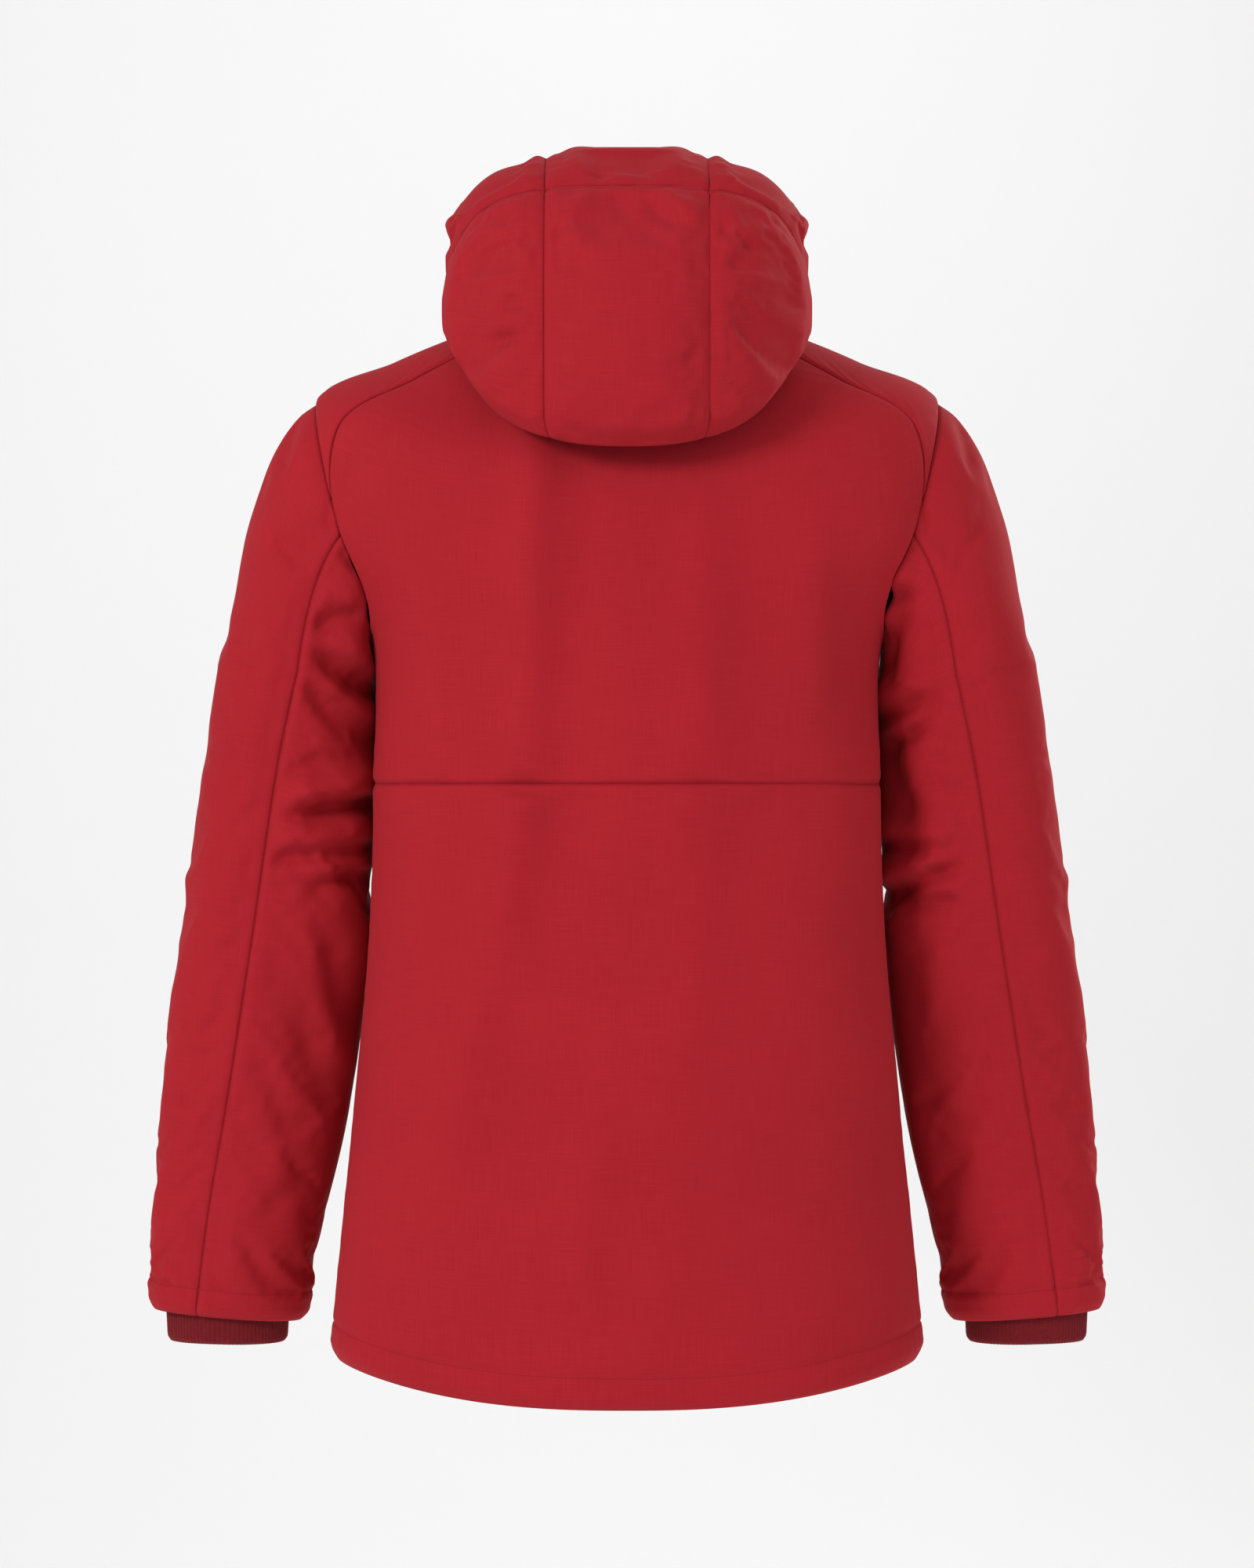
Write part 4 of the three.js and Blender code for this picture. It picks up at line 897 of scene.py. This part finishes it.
innerRows = np.concatenate([[0.22], bodyRows["whole"][bodyRows["whole"] > 0.3][:-1], [9.9]])
layers = [  # name, node, how deep, thickness, material, slot
    ("wadding", "insulation", 4.4, 4.6, waddingCloth, "wadding"),
    ("lining", "lining", 10.6, 0.6, liningCloth, "lining_taffeta"),
]
for layer, node, depth, thickness, material, slot in layers:
    cut = {"drape": 1.6, "folds": backFolds, "edges": {"left": (0.5, 5), "right": (0.5, 5)}}
    a, b = gridOf(backSurface(innerRows), 90, 90)
    a = 90 + (a - 90) * 0.985
    grid = clothGrid(bodyPoint, a, b, cut, 3, depth=depth)
    finishPiece(layCloth(f"{layer}Back", grid, material, thickness), "jacket_body", [f"{node}_back"])
    for side in sides:
        a, b = gridOf(frontSurface(innerRows, 21), 50, 90)
        a = np.minimum(a, -0.9 - sideEdge(b))
        grid = clothGrid(bodyPoint, a, b, {"drape": 1.6}, 5 if side == "left" else 8, depth=depth)
        finishPiece(layCloth(f"{layer}Front_{side}", onSide(side, grid), material, thickness), "jacket_body",
                    [f"{node}_front_{side}"])
        if layer == "lining":
            a, b = gridOf(yokeSurface, 40, 40)
            b = np.minimum(b + 0.06, 9.9)
            grid = clothGrid(bodyPoint, a * 0.96, b, {}, 14, depth=depth)
            finishPiece(layCloth(f"liningYoke_{side}", onSide(side, grid), material, thickness),
                        "jacket_body", [f"lining_yoke_{side}"])
print("wadding and lining of the body are made")

# ---- sleeves


def blendSleeve(piece):
    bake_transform(piece)


sleeveFolds = {  # as seen from behind, x counted outwards on either side
    "left": [(234, -214, 190, -206, 7, 8), (228, -236, 180, -272, 12, 9), (240, -256, 182, -308, 7, 9),
             (248, -356, 180, -342, 12, 7), (252, -340, 186, -318, -3.5, 7), (272, -390, 182, -377, 8, 7),
             (236, -408, 186, -398, 7, 7), (222, -437, 206, -530, 6, 12), (246, -507, 214, -570, 4.5, 12),
             (274, -655, 239, -624, 2.2, 9), (268, -155, 228, -170, 2.6, 10), (300, -300, 330, -312, 1.2, 14),
             (217, -150, 197, -177, 3.5, 5)],
    "right": [(212, -193, 174, -198, 9, 8), (206, -200, 184, -250, 8, 10), (224, -266, 172, -292, 9, 8),
              (222, -288, 174, -312, 7, 8), (182, -290, 210, -374, 13, 12), (242, -381, 180, -375, 8, 7),
              (248, -391, 186, -418, 12, 7), (250, -420, 196, -418, 7, 7), (230, -330, 256, -352, 3.5, 11),
              (206, -448, 222, -565, 3.5, 14), (226, -565, 250, -640, 3, 13), (262, -120, 270, -175, 2, 12)],
}
elbowNotches = [(330, -388, 345, -392, 3.5, 7), (334, -428, 345, -424, 3, 6), (308, -220, 266, -92, 4.5, 26)]
cuffStitch = 23
ribCuff = {"centre": np.array([304.5, -31, -734]), "halfWidth": 61, "inset": 14, "down": 20, "height": 62}
for side in sides:
    body = lambda piece: blendSleeve(piece)
    lines = []
    for panel in ("outer", "under"):
        a, b = gridOf(sleeveSurface(panel), 90, 260)
        cut = {"edges": {"left": (1.6, 5), "right": (1.6, 5), "low": (5, 10)}, "folds": sleeveFolds[side],
               "lines": [("low", cuffStitch)], "pucker": 0.5, "drape": 0.8}
        grid = clothGrid(sleevePoint, a, b, cut, 20 if side == "left" else 26, sleeveSlack)
        if panel == "outer":
            notch = foldShift(grid, normalsOf(grid), elbowNotches, (1, 0, 0))
            grid = grid + normalsOf(grid) * notch[..., None]
        points, directions = lineAt(grid, "low", cuffStitch)
        lines.append((points * [sides[side], 1, 1], directions * [sides[side], 1, 1]))
        finishPiece(layCloth(f"sleevePanel_{panel}_{side}", onSide(side, grid), shellCloth), body,
                    [f"sleeve_head_{panel}_{side}", f"sleeve_{panel}_{side}"])
    finishPiece(repeatAlong(f"cuffStitches_{side}", lines, stitch, 3, threadCloth), body)
    for layer, node, depth, thickness, material, slot in layers:
        t, s = np.meshgrid(np.linspace(cuffRow - 0.5, -0.8, 100), np.arange(0, 360, 4), indexing="ij")
        grid = clothGrid(sleevePoint, s, t, {"folds": sleeveFolds[side]}, 20, sleeveSlack, depth + 1.6)
        finishPiece(layCloth(f"{layer}Sleeve_{side}", onSide(side, grid), material, thickness, ring=True),
                    body, [f"{node}_sleeve_{side}"])

    # the knitted cuff: ribs of about 3 mm, drawn in at the wrist
    rows, columns = np.meshgrid(np.linspace(0, 1, 24), np.arange(0, 360, 0.5), indexing="ij")
    edge = tubePoint(columns, cuffRow + 0 * columns)
    inset = ribCuff["inset"] + 2 * (1 - rows) - 0.75 * np.abs(sinDeg(columns * 45))
    inset = inset + 0.5 * softNoise(columns, rows * 60, 30, 4)
    inset = inset + 2.2 * (1 - smooth(0, 0.06, rows))
    drawnIn = (1 - inset / ribCuff["halfWidth"])[..., None]
    grid = (edge - ribCuff["centre"]) * drawnIn + ribCuff["centre"]
    grid[..., 2] += -ribCuff["down"] + ribCuff["height"] * rows - 3 * cosDeg(columns)
    finishPiece(layCloth(f"ribCuff_{side}", onSide(side, grid), ribCloth, 2.4, ring=True), body,
                [f"rib_cuff_{side}"])
print("sleeves are made")

# ---- hood and collar


def blendHood(piece):
    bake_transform(piece)


hoodFolds = [  # as seen from behind
    (60, 60, 40, 70, 3.4, 6), (66, 62, 90, 47, 3.2, 6), (88, 50, 112, 43, 2.4, 7),
    (60, 58, 28, 28, 2.4, 10), (10, 96, -2, 72, 2.2, 6), (24, 116, 8, 98, 2.2, 6),
    (-14, 88, -43, 64, 3.0, 7), (-52, 60, -76, 68, 2.6, 6), (102, -15, 68, -12, 4.0, 6),
    (94, 14, 74, 9, 1.8, 6), (38, -52, -28, -46, 1.3, 9), (62, -35, 72, -54, 1.6, 7),
    (-26, -42, -52, -26, 2.2, 7), (60, -76, 20, -80, 1.5, 8), (-74, 36, -92, 62, 2.0, 9),
    (-62, 6, -68, -42, -2.4, 6), (30, 24, 56, -8, 1.6, 12), (-80, -20, -100, 20, 1.6, 12),
]
hoodSeamStitch = 4
hoodEdges = {"hood_top": ("low", "high"), "hood_back": ("low",)}
hoodBands = {
    "hood_top": (hoodRows["brim"], hoodRows["crown"]),
    "hood_back": (hoodRows["crown"], hoodRows["end"]),
}
hoodLines = []
for band, (low, high) in hoodBands.items():
    rolls = {edge: (2.4, 8) for edge in hoodEdges[band]}
    if band == "hood_back":
        rolls["high"] = (9, 20)
    crownLine = [("low", hoodSeamStitch)] if band == "hood_back" else []
    a, b = gridOf(hoodSurface("centre", low, high), 80, 130)
    cut = {"edges": {**rolls, "left": (2.4, 8), "right": (2.4, 8)}, "folds": hoodFolds, "lines": crownLine,
           "pucker": 0.8, "puff": 2}
    grid = clothGrid(hoodPoint, a, b, cut, 31, hoodSlack)
    hoodLines += [lineAt(grid, edge, distance) for edge, distance in crownLine]
    finishPiece(layCloth(f"{band}Centre", grid, shellCloth), blendHood, [f"{band}_centre"])
    for side in sides:
        sign = np.array([sides[side], 1, 1])
        a, b = gridOf(hoodSurface("side", low, high), 100, 130)
        sideFolds = [(x0 * sides[side], z0, x1 * sides[side], z1, deep, wide)
                     for x0, z0, x1, z1, deep, wide in hoodFolds]
        cut = {"edges": {**rolls, "left": (2.4, 8)}, "lines": crownLine, "pucker": 0.8, "puff": 3.5,
               "folds": sideFolds}
        grid = clothGrid(hoodPoint, a, b, cut, 33, hoodSlack)
        for edge, distance in crownLine:
            points, directions = lineAt(grid, edge, distance)
            hoodLines.append((points * sign, directions * sign))
        finishPiece(layCloth(f"{band}Side_{side}", onSide(side, grid), shellCloth), blendHood,
                    [f"{band}_{side}"])

s, t = np.meshgrid(np.linspace(-hoodSideAngle, hoodSideAngle, 200), np.linspace(-0.02, hoodRows["brim"], 20))
brimStitch = 3
brimCut = {"edges": {"low": (3, 6), "high": (2.2, 6)}, "lines": [("high", brimStitch)], "pucker": 0.4}
brim = clothGrid(hoodPoint, s, t, brimCut, 37)
finishPiece(layCloth("hoodBrim", brim, shellCloth, 3), blendHood, ["hood_brim"])
hoodLines.append(lineAt(brim, "high", brimStitch))
s, t = np.meshgrid(np.linspace(-82, 82, 90), np.linspace(hoodRows["brim"] + 0.1, hoodRows["end"] - 0.45, 60))
lining = clothGrid(hoodPoint, s, t, {"folds": hoodFolds}, 31, hoodSlack, 6)
finishPiece(layCloth("hoodLining", lining, liningCloth, 0.6), blendHood, ["hood_lining"])
finishPiece(repeatAlong("hoodStitches", hoodLines, stitch, 3, threadCloth), blendHood)

# the underside joins the hood's lower edge to the neck
undersideShape = {"hoodRow": hoodRows["end"] - 0.25, "shrink": 0.962, "neckRow": 9.9,
                  "offNeck": np.array([0, 3, 5]), "bulge": np.array([0, 3, 7])}
s, t = np.meshgrid(np.linspace(-80, 80, 120), np.linspace(0, 1, 30))
pole = np.array([0, hoodPole["y"], hoodPole["z"]])
edge = (hoodPoint(s, undersideShape["hoodRow"] + 0 * s) - pole) * undersideShape["shrink"] + pole
foot = bodyPoint(90 - s * 0.95, undersideShape["neckRow"] + 0 * s) + undersideShape["offNeck"]
under = mixed(edge, foot, t[..., None]) + (4 * t * (1 - t))[..., None] * undersideShape["bulge"]
finishPiece(layCloth("hoodUnderside", under, shellCloth), "jacket_body", ["hood_underside"])

collarLayers = [  # name, node, distance from the zip, how deep, material, slot
    ("collarShell", "collar", 7, 0, shellCloth, "shell_cloth"),
    ("collarLining", "collar_lining", 15, 7, liningCloth, "lining_taffeta"),
]
for name, node, inset, depth, material, slot in collarLayers:
    half = 90 + float(frontEdge(np.array(10.0), inset))
    s, t = np.meshgrid(np.linspace(-90 + half, 270 - half, 200), np.linspace(-0.05, 1, 28))
    grid = collarPoint(s, t)
    puff = 2.2 * np.sin(np.pi * np.clip(t, 0, 1)) + 0.5 * softNoise(s * 2, t * 40, 18, 6)
    roll = 6 * smooth(0.86, 1.02, t) ** 2
    inwards = (puff - roll - depth) if depth == 0 else (-depth - 0.3 * puff)
    grid = grid + normalsOf(grid) * inwards[..., None]
    finishPiece(layCloth(name, grid, material), "jacket_body", [node])
    if depth == 0:
        stitchLines["jacket_body"].append(lineAt(grid, "high", 10))
print("hood and collar are made")

# ---- zips

def copyCad(name, node, material, bevel=0.25):
    # a hard piece keeps its CAD shape, with its edges softened
    mesh = frame["nodes"][node].data.copy()
    mesh.materials.clear()
    mesh.materials.append(material)
    piece = bpy.data.objects.new(name, mesh)
    bpy.context.collection.objects.link(piece)
    weld = piece.modifiers.new("weld", "WELD")
    weld.merge_threshold = 0.00005
    edge = piece.modifiers.new("edge", "BEVEL")
    edge.width = bevel * mm
    edge.segments = 3
    edge.limit_method = "ANGLE"
    body = next(j for j, members in frame["record"]["behaviour"]["bodies"].items() if node in members)
    return finishPiece(piece, blendHood if body == "hood" else body, [node])


def strip(points, across, halfWidth, count=3):
    # a ribbon along points, from -halfWidth to halfWidth
    offsets = np.linspace(-halfWidth, halfWidth, count)
    return points[:, None] + across * offsets[None, :, None]


zipEnds = {"top": 31, "bottom": -754}
mainZip = {"tapeAside": 6.6, "tapeHalfWidth": 5.2, "tapeDeep": 2.3, "toothAside": 1.45, "toothDeep": 1.6,
           "pitch": 3.2}
slope = math.atan(frontTilt["slope"])
zipUp = np.array([0, math.sin(slope), math.cos(slope)])
zipOut = np.array([0, -math.cos(slope), math.sin(slope)])
zipTop = np.array([0, frontY(zipEnds["top"]), zipEnds["top"]])
zipLength = (zipEnds["top"] - zipEnds["bottom"]) * math.hypot(1, frontTilt["slope"])
down = zipTop - zipUp * np.linspace(0, zipLength, 260)[:, None]
outwardRow = np.repeat(zipOut[None], len(down), 0)
for side, sign in sides.items():
    tapeMiddle = down + np.array([sign * mainZip["tapeAside"], 0, 0]) - zipOut * mainZip["tapeDeep"]
    ribbon = strip(tapeMiddle, np.array([sign, 0, 0]), mainZip["tapeHalfWidth"])
    if sign > 0:
        ribbon = ribbon[:, ::-1]
    finishPiece(layCloth(f"mainZipTape_{side}", ribbon, tapeCloth, 0.7), "jacket_body")
    start = 0 if sign > 0 else mainZip["pitch"] / 2
    teethLine = zipTop - zipUp * np.linspace(start, zipLength, 260)[:, None]
    teethLine = teethLine + [sign * mainZip["toothAside"], 0, 0] - zipOut * mainZip["toothDeep"]
    teeth = repeatAlong(f"mainZipTeeth_{side}", [(teethLine, outwardRow)], mainTooth, mainZip["pitch"],
                        toothPlastic)
    finishPiece(teeth, "jacket_body", [f"main_zip_tape_{side}"])
copyCad("mainZipSlider", "main_zip_slider", zipMetal)
copyCad("mainZipPull", "main_zip_pull", pullRubber, 0.35)
flapDown = zipTop - zipUp * np.linspace(4, zipLength - 1, 120)[:, None] - zipOut * 7.4
flap = strip(flapDown, np.array([-1.0, 0, 0]), 17, 9)
finishPiece(layCloth("stormFlap", flap, shellCloth, 1.4), "jacket_body", ["storm_flap"])

zipLengths = {"hand_pocket_left": 160, "hand_pocket_right": 160, "chest_pocket": 140}
pocketZip = {"tapeHalfWidth": 11, "tapeDeep": 0.8, "weltAside": 7.2, "stitchAside": 10.3, "toothAside": 0.85,
             "toothHigh": 1.5, "pitch": 1.3}
joints = {j["name"]: j for j in frame["joints"]}
pocketStitches = []
for pocket, length in zipLengths.items():
    zipZ = -np.array(joints[f"{pocket}_travel"]["axis"])
    zipX = -np.array(joints[f"{pocket}_pull_swing"]["axis"])
    zipY = np.cross(zipZ, zipX)
    pivot = np.array(joints[f"{pocket}_pull_swing"]["pos_m"]) / mm
    centre = pivot + zipY * 5.3 - zipZ * (length / 2 - 8)
    line = centre + zipZ * np.linspace(-length / 2, length / 2, 90)[:, None]
    ribbon = strip(line - zipY * pocketZip["tapeDeep"], zipX, pocketZip["tapeHalfWidth"], 5)
    finishPiece(layCloth(f"{pocket}Tape", ribbon[::-1], tapeCloth, 0.8), "jacket_body", [f"{pocket}_zip"])
    for place, sign in (("Inner", -1), ("Outer", 1)):
        # the welt beside the teeth: a rolled, padded lip of the shell's cloth
        angle = np.linspace(0, 180, 13)
        ends = 1 - smooth(length / 2 - 5, length / 2, np.abs(np.linspace(-length / 2, length / 2, 90)))
        lip = (line[:, None] + zipX * (sign * pocketZip["weltAside"] + 3.0 * cosDeg(angle))[None, :, None]
               - zipY * (0.9 + (1.9 * sinDeg(angle))[None, :, None] * (0.35 + 0.65 * ends[:, None, None])))
        finishPiece(layCloth(f"{pocket}Welt{place}", lip, shellCloth, 0), "jacket_body")
        outwardRow = np.repeat(-zipY[None], len(line), 0)
        teethLine = line + zipX * sign * pocketZip["toothAside"] - zipY * pocketZip["toothHigh"]
        teethLine = teethLine + zipZ * (0.6 if sign > 0 else 0)
        teeth = repeatAlong(f"{pocket}Teeth{place}", [(teethLine, outwardRow)], smallTooth,
                            pocketZip["pitch"], toothPlastic)
        finishPiece(teeth, "jacket_body")
        pocketStitches.append((line + zipX * sign * pocketZip["stitchAside"] - zipY, outwardRow))
    copyCad(f"{pocket}Slider", f"{pocket}_slider", zipMetal, 0.2)
    copyCad(f"{pocket}Pull", f"{pocket}_pull", pullRubber, 0.3)
stitchLines["jacket_body"] += pocketStitches
print("zips are made")

# ---- powder skirt, hang loop, label and eyelets

skirtRows = (0.9, 1.95)
half = 90 + float(frontEdge(np.array(skirtRows[0]), 31))
s, t = np.meshgrid(np.linspace(-90 + half, 270 - half, 300), np.linspace(0, 1, 34))
skirt = bodyPoint(s, mixed(*skirtRows, t))
gathers = 1.6 * np.cos(np.radians(s * 22)) * (1 - t) ** 0.6
inset = mixed(27, 17, t) + gathers + softNoise(s * 3, t * 30, 22, 9)
skirt[..., 0] *= 1 - inset / 200
skirt[..., 1] = 20 + (skirt[..., 1] - 20) * (1 - inset / 140)
skirtPiece = finishPiece(layCloth("powderSkirt", skirt, skirtCloth, 0.8), "jacket_body",
                         ["powder_skirt"])

hangLoop = {"centre": np.array([0, 61.8, 24]), "radius": 24.5, "halfWidth": 3.5}
angle = np.linspace(180, 360, 40)
radial = np.stack([cosDeg(angle), 0 * angle, sinDeg(angle)], -1)
across = np.linspace(-hangLoop["halfWidth"], hangLoop["halfWidth"], 4)
loop = hangLoop["centre"] + radial[:, None] * (hangLoop["radius"] + across)[None, :, None]
finishPiece(layCloth("hangLoop", loop, tapeCloth, 1.1), "jacket_body", ["hang_loop"])
copyCad("labelPatch", "label_patch", liningCloth, 0.3)
for side in sides:
    copyCad(f"hoodEyelet_{side}", f"hood_eyelet_{side}", zipMetal, 0.2)

finishPiece(repeatAlong("bodyStitches", stitchLines["jacket_body"], stitch, 3, threadCloth), "jacket_body")
for item in (stitch, mainTooth, smallTooth):
    bpy.data.objects.remove(item)
print("trims and stitches are made")
